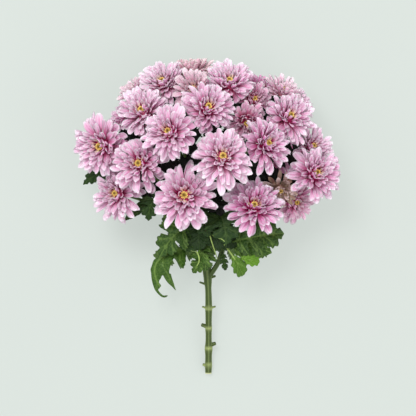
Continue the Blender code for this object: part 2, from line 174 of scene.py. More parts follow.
def split(tree, vector):
    node = addNode(tree, "ShaderNodeSeparateXYZ", {0: vector})
    return [Field(tree, socket) for socket in node.outputs]


def newTree(name, kinds):
    # a geometry tree with named inputs: {name: (socket type, value)}
    tree = bpy.data.node_groups.new(name, "GeometryNodeTree")
    tree.interface.new_socket("Geometry", in_out="INPUT", socket_type="NodeSocketGeometry")
    tree.interface.new_socket("Geometry", in_out="OUTPUT", socket_type="NodeSocketGeometry")
    for label, (kind, value) in kinds.items():
        socket = tree.interface.new_socket(label, in_out="INPUT", socket_type="NodeSocket" + kind)
        if value is not None:
            socket.default_value = value
    start = tree.nodes.new("NodeGroupInput")
    return tree, {socket.name: Field(tree, socket) for socket in start.outputs if socket.name}


def store(tree, geometry, name, value, kind="FLOAT"):
    inputs = {"Geometry": geometry, "Name": name, "Value": value}
    return addNode(tree, "GeometryNodeStoreNamedAttribute", inputs, data_type=kind).outputs[0]


def named(tree, name, kind="FLOAT"):
    node = addNode(tree, "GeometryNodeInputNamedAttribute", {"Name": name}, data_type=kind)
    return Field(tree, node.outputs[0])


def chanceOf(tree, index, seed):
    # three numbers from -1 to 1 for each index
    inputs = {0: (-1, -1, -1), 1: (1, 1, 1), "ID": index, "Seed": seed}
    return addNode(tree, "FunctionNodeRandomValue", inputs, data_type="FLOAT_VECTOR").outputs[0]


def placeOf(tree):
    return split(tree, addNode(tree, "GeometryNodeInputPosition").outputs[0])


def move(tree, geometry, position):
    inputs = {"Geometry": geometry, "Position": position}
    return addNode(tree, "GeometryNodeSetPosition", inputs).outputs[0]


def copies(tree, places, shape):
    # one real copy of the shape on each point
    inputs = {"Points": places, "Instance": shape}
    spread = addNode(tree, "GeometryNodeInstanceOnPoints", inputs).outputs[0]
    return addNode(tree, "GeometryNodeRealizeInstances", {0: spread}).outputs[0]


def aboutAxis(tree, out, sideways, height, turn, size):
    # a place that is so far out from an axis, turned about it
    x = (out * turn.cosine() - sideways * turn.sine()) * size
    y = (out * turn.sine() + sideways * turn.cosine()) * size
    return combine(tree, x, y, height * size)


def closeTree(tree, geometry, material):
    # smooth shading and the material, after the instances are made real
    smooth = addNode(tree, "GeometryNodeSetShadeSmooth", {"Geometry": geometry}).outputs[0]
    finished = addNode(tree, "GeometryNodeSetMaterial", {"Geometry": smooth, "Material": material}).outputs[0]
    addNode(tree, "NodeGroupOutput", {0: finished})


def grow(name, tree, values, start=None):
    # runs a geometry tree over a mesh and returns the plain mesh that it makes
    carrier = bpy.data.objects.new(name, start or bpy.data.meshes.new(name))
    bpy.context.scene.collection.objects.link(carrier)
    modifier = carrier.modifiers.new("grow", "NODES")
    modifier.node_group = tree
    for item in tree.interface.items_tree:
        if item.in_out == "INPUT" and item.name in values:
            modifier[item.identifier] = values[item.name]
    carrier.update_tag()
    graph = bpy.context.evaluated_depsgraph_get()
    graph.update()
    grown = carrier.evaluated_get(graph)
    mesh = bpy.data.meshes.new_from_object(grown, preserve_all_data_layers=True, depsgraph=graph)
    carrierMesh = carrier.data
    bpy.data.objects.remove(carrier, do_unlink=True)
    bpy.data.meshes.remove(carrierMesh)
    mesh.name = name
    return mesh


def points(mesh):
    flat = np.empty(len(mesh.vertices) * 3, np.float32)
    mesh.vertices.foreach_get("co", flat)
    return flat.reshape(-1, 3).astype(float)


def setPoints(mesh, places):
    mesh.vertices.foreach_set("co", np.ascontiguousarray(places, np.float32).ravel())
    mesh.update()


def mark(mesh, name, values):
    # one number for each point of a mesh
    layer = mesh.attributes.new(name, "FLOAT", "POINT")
    values = np.broadcast_to(np.asarray(values, np.float32), len(mesh.vertices))
    layer.data.foreach_set("value", values.copy())


def addPiece(name, mesh, slot, *nodes):
    # a finished piece that stands for these nodes of the part
    piece = bpy.data.objects.new(name, mesh)
    bpy.context.scene.collection.objects.link(piece)
    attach(piece, "root")
    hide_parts(*nodes)
    return piece


# where everything grows, in millimetres from the middle of the head, as in the part

bloomTable = [
    ((13, -9.6, 117), 28.6, (0.04, 0.26, 1), "middle"),
    ((-18.7, -41.2, 104), 30, (-0.04, 0.14, 1), "middle"),
    ((39.4, -50.2, 95), 26.6, (0.04, 0.38, 1), "lowRight"),
    ((-30.6, 11.6, 110), 25.8, (-0.34, 0.2, 1), "upperLeft"),
    ((0.6, 31.6, 103), 25.8, (0.16, 0.38, 1), "top"),
    ((48.4, 1.6, 104), 24.6, (0.62, 0.28, 1), "right"),
    ((-56, -14, 92), 27, (-0.26, 0.08, 1), "left"),
    ((-88.8, 2, 76), 28.5, (-0.44, -0.2, 1), "left"),
    ((91, -22.4, 79), 25.8, (0.4, 0.25, 1), "lowRight"),
    ((68.6, 24.8, 85), 25, (0.45, 0.52, 1), "right"),
    ((-53.8, 29.6, 85), 25.5, (-0.32, 0.48, 1), "upperLeft"),
    ((-37, 55, 72), 23.5, (-0.3, 0.5, 1), "upperLeft"),
    ((18.5, 53, 82), 26, (0.08, 0.9, 0.9), "upperRight"),
    ((-11.5, 48.5, 84), 21, (-0.1, 0.3, 1), "top"),
    ((39.4, 41, 78.5), 18.5, (0.25, 0.1, 1), "upperRight"),
    ((33, 21.6, 90), 21, (0.05, -0.32, 1), "upperRight"),
    ((-76, -39, 68), 24.5, (-0.45, 0.1, 1), "left"),
    ((75, -45.5, 58), 20, (0.45, -0.2, 1), "lowRight"),
    ((89.2, 0.8, 63), 20.5, (0.5, 0.35, 1), "right"),
    ((64, 47, 64), 20, (0.5, 0.8, 0.65), "upperRight"),
    ((76.8, 38.6, 50), 18.5, (0.85, 0.65, 0.45), "right"),
    ((-60, 48, 50), 19.5, (-0.7, 0.8, 0.45), "upperLeft"),
    ((-70, 27, 49), 18.5, (-0.9, 0.4, 0.4), "left"),
    ((-13, 64.5, 50), 24, (-0.1, 1, 0.2), "top"),
    ((62, -35, 74), 18, (0.1, -0.4, 1), "right"),
    ((46, 52, 38), 19, (0.45, 0.9, 0), "upperRight"),
    ((-63, -12, 19), 25.5, (-0.85, -0.2, -0.45), "left"),
    ((63, -6, 18.9), 25.5, (0.85, -0.15, -0.45), "right"),
    ((-2, 46, 18.1), 24.5, (0.05, 0.85, -0.5), "top"),
]
stemLine = [
    (1.2, -198.4, 3.1), (1.4, -174, 9.4), (1.4, -152, 15.8), (1.4, -131, 22.4),
    (0.6, -112, 29), (-1, -95, 35), (-2.2, -72, 43), (-1, -45, 50),
    (0, -15, 55), (-1, 8, 56),
]
# stubs of picked leaves: where along the stem, angle to the side, length, radius
stubTable = [
    (-190, 180, 5.4, 1.3), (-174, 8, 6.8, 1.7), (-156.8, 172, 6.8, 1.7),
    (-138.6, 0, 6.6, 0.9), (-139, 180, 6.2, 0.9), (-117.4, 176, 8.2, 0.9),
    (-113.6, 10, 7.4, 1.1),
]
branchTable = {
    "lowRight": (
        -112, ((9.4, -99, 38.5), (16, -83, 47), (38, -62, 56), (57, -44, 52)),
    ),
    "left": (-84, ((-16, -64, 50), (-38, -38, 54), (-60, -14, 52))),
    "right": (-66, ((16, -44, 54), (38, -18, 56), (60, 6, 52))),
    "middle": (-58, ((-6, -44, 62), (-8, -34, 72))),
    "upperLeft": (-48, ((-14, -22, 58), (-28, 4, 60), (-42, 22, 58))),
    "upperRight": (-30, ((14, -6, 58), (26, 14, 56), (36, 28, 50))),
    "top": (-10, ((-1, 10, 58), (-4, 26, 56), (-6, 36, 54))),
}
# leaves: root, the point that they bend by, tip, upper side, width
leafTable = [
    ((-2, -84, 40), (-67, -90, 62), (-34, -127, 36), (-0.3, 0.2, 1), 0.6),
    ((-4, -66, 48), (-25, -62, 78), (-41, -94, 56), (-0.2, 0, 1), 0.85),
    ((-8, -58, 48), (-26, -52, 62), (-37, -70, 50), (-0.3, 0.2, 1), 1),
    ((-2, -76, 42), (-3, -92, 66), (-12, -107, 48), (-0.4, 0, 1), 1.15),
    ((8, -78, 46), (20, -86, 70), (31, -109, 52), (0.3, 0.1, 1), 1.1),
    ((14, -80, 48), (38, -74, 74), (66, -73, 58), (0, 0.2, 1), 1.1),
    ((12, -86, 44), (36, -80, 58), (56, -90, 42), (0.3, 0, 1), 0.9),
    ((2, -46, 52), (18, -56, 82), (16, -83, 66), (0, 0.1, 1), 1.1),
    ((-4, -46, 52), (-3, -56, 78), (1, -76, 66), (-0.1, 0.1, 1), 1.1),
    ((-60, -14, 48), (-90, -14, 56), (-107, -31, 44), (-0.3, -0.2, 1), 1),
    ((-34, -40, 52), (-50, -40, 72), (-50, -62, 58), (0, -0.2, 1), 1),
    ((-36, -38, 50), (-58, -48, 60), (-71, -62, 54), (0, -0.3, 1), 0.7),
    ((-8, -30, 64), (-20, -18, 82), (-36, -14, 72), (0, 0.1, 1), 1),
    ((20, -30, 54), (36, -14, 76), (57, -9, 65), (0, 0.1, 1), 1),
    ((-4, 8, 56), (-14, 14, 78), (-20, 30, 74), (0, 0, 1), 1.3),
    ((-20, 8, 58), (-28, 26, 68), (-28, 50, 56), (0, 0, 1), 1.1),
    ((-40, 2, 54), (-56, 7, 66), (-66, 9, 64), (0, 0, 1), 1.2),
    ((-4, -82, 36), (-28, -84, 26), (-46, -104, 16), (-0.3, 0.2, -1), 1),
    ((10, -78, 36), (26, -76, 24), (44, -94, 14), (0.3, 0.2, -1), 1),
    ((0, -62, 44), (2, -68, 22), (4, -96, 12), (0.1, 0.2, -1), 1),
    ((-14, -24, 50), (-22, -34, 30), (-36, -56, 16), (-0.3, 0.1, -1), 1),
    ((20, -28, 48), (28, -40, 28), (42, -62, 16), (0.3, 0.1, -1), 1),
]
# more leaves inside the head, seen only through the gaps between blooms, coloured near black or dark green as
# painted shade
shadeTable = [(root, bend, tip, (0.0, 0.1, 1.0), width) for root, bend, tip, width in (
    ((-10, -40, 50), (-22, -30, 66), (-40, -34, 60), 1.2),
    ((-2, -50, 50), (8, -36, 74), (12, -58, 70), 1.3),
    ((0, -30, 54), (4, -20, 76), (0, -44, 74), 1.3),
    ((10, -34, 54), (24, -34, 72), (40, -20, 64), 1.3),
    ((30, -30, 54), (46, -24, 66), (66, -26, 58), 1.3),
    ((40, -56, 54), (60, -40, 62), (76, -24, 52), 1.2),
    ((56, -10, 52), (72, -10, 62), (84, 4, 46), 1.1),
    ((34, -24, 54), (46, -6, 66), (56, 14, 58), 1.3),
    ((10, -4, 56), (22, 8, 72), (34, 20, 60), 1.3),
    ((34, 24, 50), (48, 28, 62), (62, 36, 50), 1.2),
    ((26, 14, 56), (28, 32, 64), (30, 52, 52), 1.2),
    ((-2, 20, 56), (6, 34, 72), (8, 54, 60), 1.2),
    ((-6, 34, 54), (-16, 44, 66), (-26, 60, 52), 1.2),
    ((-34, 14, 58), (-44, 24, 68), (-50, 42, 54), 1.2),
    ((-30, 8, 58), (-46, 10, 70), (-60, 20, 60), 1.1),
    ((-20, -12, 58), (-34, -6, 74), (-46, 2, 66), 1.2),
    ((-44, -28, 54), (-58, -30, 64), (-72, -22, 54), 1.2),
    ((-54, -20, 54), (-72, -14, 60), (-84, -20, 50), 1.1),
    ((0, -22, 56), (-10, -10, 70), (-14, 6, 66), 1.4),
    ((-6, -34, 56), (-14, -24, 68), (-18, -4, 62), 1.4),
    ((-16, -20, 56), (-30, -22, 66), (-46, -12, 58), 1.3),
    ((-24, -50, 52), (-40, -34, 60), (-58, -40, 50), 1.2),
    ((-40, 20, 56), (-56, 14, 62), (-76, 14, 50), 1.1),
    ((0, 4, 58), (6, 12, 66), (8, 26, 60), 1.3),
    ((30, 22, 52), (42, 36, 60), (58, 50, 46), 1.1),
    ((0, -70, 44), (6, -64, 66), (12, -86, 58), 1.3),
    ((4, -78, 42), (12, -70, 62), (26, -84, 52), 1.2),
)]
fullRadius = 28.0  # of the bloom whose shape the others scale
heartHeight = 4.0


def basis(axis, upper=None):
    # side, front and axis at right angles, with front as near to upper as it can be
    if upper is None:
        upper = Vector((1, 0, 0)) if abs(axis.x) < 0.8 else Vector((0, 1, 0))
    side = Vector(upper).cross(axis).normalized()
    return side, axis.cross(side).normalized(), axis


def readBloom(number, place, radius, facing, branch):
    axis, size = Vector(facing).normalized(), radius / fullRadius
    heart = Vector(place)
    foot = heart - axis * heartHeight * size
    turn = Matrix(basis(axis)).transposed().to_4x4()
    return SimpleNamespace(
        number=number, heart=heart, radius=radius, size=size, axis=axis, foot=foot, branch=branch,
        cup=max(0.0, fullRadius - radius) * 1.1, matrix=Matrix.Translation(foot) @ turn,
    )


blooms = [readBloom(number, *row) for number, row in enumerate(bloomTable, 1)]

# the part was centred after it was made: the top of the first eye gives the way back
eyeTop = 8.8 * blooms[0].size + 0.3 + 2.5 * blooms[0].size
topPoint = max((v.co for v in frame["nodes"]["eye_01"].data.vertices), key=lambda co: co.dot(blooms[0].axis))
toFrame = topPoint / mm - (blooms[0].foot + blooms[0].axis * eyeTop)
print("centred by", [round(value, 3) for value in toFrame])


def toMetres(places):
    return (np.asarray(places, float) + np.array(toFrame)) * mm


def cellWalls(bloom):
    # flat walls that keep a bloom's petals from its neighbours': direction and distance
    walls = [(Vector((0, 0, -1)), bloom.heart.z)]
    for other in blooms:
        apart = other.heart - bloom.heart
        if other is bloom or apart.length > 1.2 * (bloom.radius + other.radius):
            continue
        facing = (bloom.axis + other.axis) / 2
        toward = (apart + facing * facing.dot(apart) * 3).normalized()
        share = bloom.radius / (bloom.radius + other.radius)
        walls.append((toward, apart.dot(toward) * share - 0.4))
    return walls


def fitToCell(places, bloom):
    # draws points in towards the heart of the bloom, so that they stay inside its walls
    heart = np.array(bloom.heart)
    out = places - heart
    distance = np.linalg.norm(out, axis=1)
    way = out / np.maximum(distance, 1e-9)[:, None]
    limit = np.full(len(places), 1e9)
    for toward, reach in cellWalls(bloom):
        limit = np.minimum(limit, reach / np.maximum(way @ np.array(toward), 1e-6))
    soft, spare = 0.8 * limit, 0.2 * limit
    drawn = soft + spare * (1 - np.exp(-np.maximum(distance - soft, 0) / spare))
    return heart + way * np.where(distance > soft, drawn, distance)[:, None]


def intoFrame(mesh, places):
    # millimetres to metres, where the last few millimetres before the part's box are eased in
    places = toMetres(places)
    for axis in range(3):
        for limit, toward in ((cadLow[axis], -1), (cadHigh[axis], 1)):
            soft = 0.8 * mm if axis == 2 and toward < 0 else 4.0 * mm
            over = (places[:, axis] - limit) * toward + soft
            eased = np.where(over > 0, soft * (1 - np.exp(-np.maximum(over, 0) / soft)), over)
            places[:, axis] = limit + (eased - soft) * toward
    setPoints(mesh, places)


def place(mesh, bloom, fitted=True):
    # from a bloom's own millimetres to its place in the frame
    matrix = np.array(bloom.matrix)
    places = points(mesh) @ matrix[:3, :3].T + matrix[:3, 3]
    intoFrame(mesh, fitToCell(places, bloom) if fitted else places)


# camera and studio

studio = {
    "distance": 1.6, "lens": 162.9, "floorColour": (0.160, 0.1745, 0.1645), "floorGlow": 2.86,
    "keyPower": 12.2, "keySize": 0.6, "keyPlace": (-0.32, 0.5, 1.4),
    "fillPower": 5.5, "fillSize": 1.2, "fillPlace": (0.9, -0.5, 1.1),
    "worldStrength": 1.0, "worldColour": (1.0, 0.985, 0.995),
}
aim = toMetres([(0.85, -51.0, 70.0)])[0]  # the photograph's middle, level with the head's widest part

camera = bpy.data.objects.new("camera", bpy.data.cameras.new("camera"))
camera.data.lens = studio["lens"]
camera.data.clip_end = 20
camera.location = (aim[0], aim[1], aim[2] + studio["distance"])  # it looks straight down
bpy.context.scene.collection.objects.link(camera)
bpy.context.scene.camera = camera


def areaLight(name, power, size, location):
    light = bpy.data.lights.new(name, "AREA")
    light.shape = "DISK"
    light.energy, light.size = power, size
    lamp = bpy.data.objects.new(name, light)
    lamp.location = location
    lamp.rotation_euler = (Vector((0, 0, 0.05)) - Vector(location)).to_track_quat("-Z", "Y").to_euler()
    bpy.context.scene.collection.objects.link(lamp)


areaLight("keyLight", studio["keyPower"], studio["keySize"], studio["keyPlace"])
areaLight("fillLight", studio["fillPower"], studio["fillSize"], studio["fillPlace"])

world = bpy.data.worlds.new("studioAir")
bpy.context.scene.world = world
world.use_nodes = True
world.node_tree.nodes["Background"].inputs["Color"].default_value = (*studio["worldColour"], 1)
world.node_tree.nodes["Background"].inputs["Strength"].default_value = studio["worldStrength"]
bpy.context.scene.view_settings.view_transform = "Standard"
print("studio ready")

# materials


def srgb(red, green, blue):
    # a colour picker's 0 to 255 values as a linear colour
    values = [v / 255 for v in (red, green, blue)]
    return (*[v / 12.92 if v <= 0.04045 else ((v + 0.055) / 1.055) ** 2.4 for v in values], 1.0)


def newMaterial(name, roughness, **constants):
    material = bpy.data.materials.new(name)
    material.use_nodes = True
    shader = material.node_tree.nodes["Principled BSDF"]
    shader.inputs["Roughness"].default_value = roughness
    for key, value in constants.items():
        shader.inputs[key].default_value = value
    return material, material.node_tree, shader


def attribute(tree, name, part="Fac"):
    return Field(tree, addNode(tree, "ShaderNodeAttribute", attribute_name=name).outputs[part])


def blend(tree, amount, first, second, kind="MIX"):
    # between two colours, each one an (r, g, b, 1) or an output
    node = addNode(tree, "ShaderNodeMix", data_type="RGBA", blend_type=kind, clamp_factor=True)
    for key, value in ((0, amount), (6, first), (7, second)):
        plug(tree, value, node.inputs[key])
    return Field(tree, node.outputs[2])


def noise(tree, vector, scale, detail=2.0, roughness=0.5):
    inputs = {"Vector": vector, "Scale": scale, "Detail": detail, "Roughness": roughness}
    return Field(tree, addNode(tree, "ShaderNodeTexNoise", inputs).outputs["Fac"])


def bump(tree, height, strength, distance):
    inputs = {"Height": height, "Strength": strength, "Distance": distance}
    return addNode(tree, "ShaderNodeBump", inputs).outputs[0]


def mottleGroup():
    # shared by the green parts: patches of lighter and darker colour, and a fine grain
    group = bpy.data.node_groups.new("mottle", "ShaderNodeTree")
    kinds = {"Colour": "Color", "Patch Scale": "Float", "Grain Scale": "Float", "Amount": "Float"}
    for label, kind in kinds.items():
        group.interface.new_socket(label, in_out="INPUT", socket_type="NodeSocket" + kind)
    group.interface.new_socket("Colour", in_out="OUTPUT", socket_type="NodeSocketColor")
    group.interface.new_socket("Grain", in_out="OUTPUT", socket_type="NodeSocketFloat")
    given = group.nodes.new("NodeGroupInput").outputs
    where = addNode(group, "ShaderNodeTexCoord").outputs["Object"]
    patches = noise(group, where, given["Patch Scale"], 3.0)
    grain = noise(group, where, given["Grain Scale"], 2.0)
    value = (patches - 0.5) * given["Amount"] * 2.0 + (grain - 0.5) * given["Amount"] + 1.0
    tinted = addNode(group, "ShaderNodeHueSaturation", {"Color": given["Colour"], "Value": value}).outputs[0]
    addNode(group, "NodeGroupOutput", {"Colour": tinted, "Grain": grain})
    return group


mottle = mottleGroup()


def mottled(tree, colour, patchScale, grainScale, amount):
    inputs = {"Colour": colour, "Patch Scale": patchScale, "Grain Scale": grainScale, "Amount": amount}
    node = addNode(tree, "ShaderNodeGroup", inputs, node_tree=mottle)
    return Field(tree, node.outputs["Colour"]), Field(tree, node.outputs["Grain"])


# deepAndShade is the petals' dark pink feet: partly their own colour, partly painted shade
petalColours = {
    "body": srgb(236, 196, 222), "streak": srgb(218, 116, 174), "deepAndShade": srgb(172, 14, 88),
    "rim": srgb(224, 216, 224), "under": srgb(226, 138, 190), "cream": srgb(250, 232, 196),
    "beige": srgb(224, 204, 186), "wilted": srgb(142, 114, 82),
}


def petalMaterial():
    scattering = {"Subsurface Weight": 0.12, "Subsurface Radius": (1.0, 0.4, 0.65), "Subsurface Scale": 0.002}
    material, tree, shader = newMaterial("petal", 0.5, **scattering)
    colours = petalColours
    along, across, side = (attribute(tree, name) for name in ("petalAlong", "petalAcross", "petalSide"))
    ring, tone, warmth, blush = (attribute(tree, name) for name in ("ring", "tone", "warmth", "blush"))
    edge = across.unsigned()
    streakPlace = combine(tree, across * 3.4 + tone * 37.0, along * 0.8, ring * 11.0 + tone * 5.0)
    streaks = noise(tree, streakPlace, 1.9, 3.0, 0.75)
    body = blend(tree, tone.ramp(0.0, 0.4, 0.35, 0.0), colours["body"], colours["streak"])
    body = blend(tree, tone.ramp(0.55, 1.0) * 0.6, body, colours["rim"])
    # the petals' feet pinker and darker: partly their own colour, partly painted shade where they pass under
    # the petals above
    colour = blend(tree, along.ramp(0.02, 0.54), colours["deepAndShade"], body)
    colour = blend(tree, along.ramp(0.35, 1.0) * 0.7, colour, colours["rim"])
    colour = blend(tree, side.ramp(-0.35, 0.0, 1.0, 0.0) * 0.7, colour, colours["under"])
    middle = edge.ramp(0.2, 0.8, 1.0, 0.3)
    colour = blend(tree, streaks.ramp(0.45, 0.7) * middle * (1.0 - along * 0.35), colour, colours["streak"])
    lines = ((across + (streaks - 0.5) * 0.3) * 10.0).cosine().ramp(0.5, 1.0) * along.ramp(0.05, 0.35)
    colour = blend(tree, lines * along.ramp(0.62, 1.0, 0.6, 0.0) * middle, colour, colours["streak"])
    rim = edge.ramp(0.6, 1.0).math("MAXIMUM", along.ramp(0.8, 1.0)) * along.ramp(0.15, 0.5)
    colour = blend(tree, rim * 0.85, colour, colours["rim"])
    creamy = ring.ramp(0.0, 0.14, 1.0, 0.0) * along.ramp(0.1, 0.7, 1.0, 0.0)
    colour = blend(tree, creamy, colour, colours["cream"])
    colour = blend(tree, warmth.math("MINIMUM", 0.6), colour, colours["beige"])
    brown = warmth.ramp(0.6, 1.0) * tone.ramp(0.3, 0.7, 1.0, 0.1)  # some wilted petals stay pale
    colour = blend(tree, brown, colour, colours["wilted"])
    # some blooms a darker, deeper pink and others paler: partly their own colour, partly painted shade and
    # painted light
    inputs = {"Color": colour, "Value": tone * 0.16 + 0.92 - blush * 0.12, "Saturation": blush * 0.3 + 1.0}
    colour = addNode(tree, "ShaderNodeHueSaturation", inputs).outputs[0]
    tree.links.new(colour, shader.inputs["Base Color"])
    veins = noise(tree, combine(tree, across * 9.0 + tone * 37.0, along * 0.9, ring * 11.0), 1.6, 1.0)
    plug(tree, veins.ramp(0.2, 0.8, 0.44, 0.6), shader.inputs["Roughness"])
    tree.links.new(bump(tree, veins, 0.55, 0.0004), shader.inputs["Normal"])
    return material


eyeColours = {
    "outer": srgb(232, 186, 62), "inner": srgb(126, 98, 30),
    "tip": srgb(244, 218, 132), "gap": srgb(120, 82, 26),
}


def eyeMaterial():
    material, tree, shader = newMaterial("eye", 0.6)
    ring, up = attribute(tree, "ring"), attribute(tree, "floretUp")
    colour = blend(tree, ring.ramp(0.25, 0.8), eyeColours["inner"], eyeColours["outer"])
    colour = blend(tree, up.ramp(0.6, 1.0) * ring.ramp(0.3, 0.8), colour, eyeColours["tip"])
    # the floret feet and the dome between them darker brown: painted shade in the gaps between florets
    colour = blend(tree, up.ramp(0.0, 0.5, 1.0, 0.0) * 0.85, colour, eyeColours["gap"])
    tree.links.new(colour.socket, shader.inputs["Base Color"])
    where = addNode(tree, "ShaderNodeTexCoord").outputs["Object"]
    grain = noise(tree, where, 2600.0)
    plug(tree, grain.ramp(0.2, 0.8, 0.5, 0.75), shader.inputs["Roughness"])
    tree.links.new(bump(tree, grain, 0.3, 0.0002), shader.inputs["Normal"])
    return material


stemColours = {
    "skin": srgb(46, 66, 14), "ridge": srgb(98, 114, 62), "low": srgb(54, 68, 20), "high": srgb(54, 84, 18),
    "knot": srgb(158, 172, 108), "young": srgb(148, 172, 92), "pith": srgb(196, 200, 150),
}


def stemMaterial():
    material, tree, shader = newMaterial("stem", 0.5, **{"Specular IOR Level": 0.35})
    height, end, knot, young = (attribute(tree, name) for name in ("height", "cut", "knot", "young"))
    ridge = attribute(tree, "ridge").ramp(-0.5, 1.0)
    colour = blend(tree, height.ramp(0.0, 0.55), stemColours["low"], stemColours["skin"])
    colour = blend(tree, height.ramp(0.45, 1.0), colour, stemColours["high"])
    colour = blend(tree, ridge * 0.7, colour, stemColours["ridge"])
    colour = blend(tree, knot * 0.7, colour, stemColours["knot"])
    colour = blend(tree, young, colour, stemColours["young"])
    colour, grain = mottled(tree, colour, 90.0, 1500.0, 0.16)
    colour = blend(tree, end, colour, stemColours["pith"])
    tree.links.new(colour.socket, shader.inputs["Base Color"])
    plug(tree, grain.ramp(0.2, 0.8, 0.42, 0.62), shader.inputs["Roughness"])
    tree.links.new(bump(tree, ridge * 0.4 + grain * 0.6, 0.4, 0.0003), shader.inputs["Normal"])
    return material


leafColours = {
    "shade": srgb(5, 13, 4), "dark": srgb(27, 55, 14), "bright": srgb(84, 128, 22),
    "vein": srgb(122, 152, 74), "under": srgb(84, 108, 56),
}


def leafMaterial():
    material, tree, shader = newMaterial("leaf", 0.5, **{"Specular IOR Level": 0.22})
    vein, side, tone = (attribute(tree, name) for name in ("veinGap", "leafSide", "tone"))
    along, across = attribute(tree, "leafAlong"), attribute(tree, "leafAcross")
    # tone 0 is painted shade, near black, for leaves in the shade of the blooms, where veins and undersides
    # are not shown; from 0.3 up a dark to bright green
    colour = blend(tree, tone.ramp(0.0, 0.3), leafColours["shade"], leafColours["dark"])
    colour = blend(tree, tone.ramp(0.3, 1.0), colour, leafColours["bright"])
    colour, grain = mottled(tree, colour, 60.0, 900.0, 0.2)
    lit = tone.ramp(0.1, 0.6)
    # a net of fine veins between the large ones, with the skin puckered up between them
    where = combine(tree, along, across, tone * 9.0)
    net = addNode(tree, "ShaderNodeTexVoronoi", {"Vector": where, "Scale": 24.0}, feature="DISTANCE_TO_EDGE")
    net = Field(tree, net.outputs["Distance"])
    colour = blend(tree, net.ramp(0.0, 0.12, 1.0, 0.0) * 0.25 * lit, colour, leafColours["vein"])
    colour = blend(tree, vein.ramp(0.0, 0.02, 1.0, 0.0) * 0.6 * lit, colour, leafColours["vein"])
    colour = blend(tree, side.ramp(-0.2, 0.0, 1.0, 0.0) * 0.7 * lit, colour, leafColours["under"])
    tree.links.new(colour.socket, shader.inputs["Base Color"])
    plug(tree, grain.ramp(0.2, 0.8, 0.36, 0.58), shader.inputs["Roughness"])
    relief = net.ramp(0.0, 0.3) + vein.ramp(0.0, 0.03) * 1.5 + grain * 0.3
    tree.links.new(bump(tree, relief, 0.5, 0.0006), shader.inputs["Normal"])
    return material


petalFinish, eyeFinish = petalMaterial(), eyeMaterial()
stemFinish, leafFinish = stemMaterial(), leafMaterial()

floorMaterial, floorTree, floorShader = newMaterial("floor", 0.9)
floorWhere = addNode(floorTree, "ShaderNodeTexCoord").outputs["Object"]
floorShade = noise(floorTree, floorWhere, 3.0).ramp(0.2, 0.8, 0.99, 1.01)
floorInputs = {"Color": (*studio["floorColour"], 1), "Value": floorShade}
floorColour = addNode(floorTree, "ShaderNodeHueSaturation", floorInputs).outputs[0]
floorTree.links.new(floorColour, floorShader.inputs["Base Color"])
floorTree.links.new(floorColour, floorShader.inputs["Emission Color"])
floorShader.inputs["Emission Strength"].default_value = studio["floorGlow"]  # a lit table: soft shadows
floorMesh = bpy.data.meshes.new("floor")
floorMesh.from_pydata([(-6, -6, 0), (6, -6, 0), (6, 6, 0), (-6, 6, 0)], [], [(0, 1, 2, 3)])
floorMesh.materials.append(floorMaterial)
floor = bpy.data.objects.new("floor", floorMesh)
bpy.context.scene.collection.objects.link(floor)
print("materials ready")

# petals, bracts: whorls that wind round an axis by the golden angle

petalShape = {
    # (ring, value): ring 0 is the innermost petal and 1 the outermost
    "rootRadius": ((0, 3.1), (0.2, 4.7), (0.45, 5.9), (0.8, 5.9), (1, 5.0)),
    "rootHeight": ((0, 8.6), (0.5, 5.0), (1, 1.3)),
    "rise": ((0, 58), (0.12, 55), (0.3, 46), (0.5, 33), (0.74, 15), (1, -8)),
    "bend": ((0, 24), (0.12, 26), (0.35, 17), (0.66, 3), (1, -12)),
    "reach": ((0, 7.0), (0.12, 10.4), (0.3, 14.4), (0.6, 18.2), (0.82, 20.8), (1, 22.6)),
    "halfWidth": ((0, 1.8), (0.3, 2.9), (0.65, 3.8), (1, 4.5)),
    "roll": ((0, 1.5), (0.35, 1.3), (0.7, 1.15), (1, 0.95)),
    "cupShare": ((0, 0.2), (0.33, 0.6), (0.66, 0.9), (1, 1.0)),
    # (along, share of the half width)
    "outline": ((0, 0.2), (0.2, 0.38), (0.42, 0.74), (0.66, 1.0), (0.82, 0.94), (0.93, 0.66), (1, 0.24)),
    "spread": (0.28, 12.0, 0.13),  # how far petals stray: about the axis, up, in length
    "thickness": 0.24, "tipHook": 0.06, "around": 8, "stations": 8,
    # what they grow from: lowest and highest, then (share of the height, radius)
    "core": (0.0, 8.8, ((0, 3.6), (0.14, 5.6), (0.36, 6.3), (0.61, 6.1), (0.84, 5.2), (1, 3.6))),
}
bractShape = {
    "rootRadius": ((0, 3.4), (1, 1.5)), "rootHeight": ((0, -3.4), (1, -7.0)),
    "rise": ((0, 34), (1, 60)), "bend": ((0, 30), (1, 14)),
    "reach": ((0, 5.4), (1, 4.6)), "halfWidth": ((0, 1.5), (1, 1.0)),
    "roll": ((0, 0.8), (1, 0.8)), "cupShare": ((0, 0.0), (1, 0.0)),
    "outline": ((0, 0.7), (0.35, 1.0), (0.7, 0.8), (0.92, 0.4), (1, 0.15)), "spread": (0.13, 5.0, 0.06),
    "thickness": 0.22, "tipHook": 0.03, "around": 6, "stations": 4,
    "core": (-7.7, 1.4, ((0, 1.3), (0.1, 1.9), (0.3, 2.9), (0.55, 3.8), (0.8, 4.4), (1, 5.2))),
}


def coreOf(tree, core, size):
    # a closed solid of revolution
    low, high, profile = core
    inputs = {"Vertices": 16, "Side Segments": 8, "Radius": 1.0, "Depth": 1.0}
    tube = addNode(tree, "GeometryNodeMeshCylinder", inputs).outputs[0]
    x, y, z = placeOf(tree)
    radius = (z + 0.5).curve(profile) * size
    position = combine(tree, x * radius, y * radius, ((z + 0.5) * (high - low) + low) * size)
    turned = store(tree, move(tree, tube, position), "ring", 0.5)  # as dark a pink, partly painted shade, as the petals' feet
    return store(tree, turned, "petalSide", 1.0)


def join(tree, *parts):
    node = addNode(tree, "GeometryNodeJoinGeometry")
    for part in parts:
        tree.links.new(part, node.inputs[0])
    return node.outputs[0]


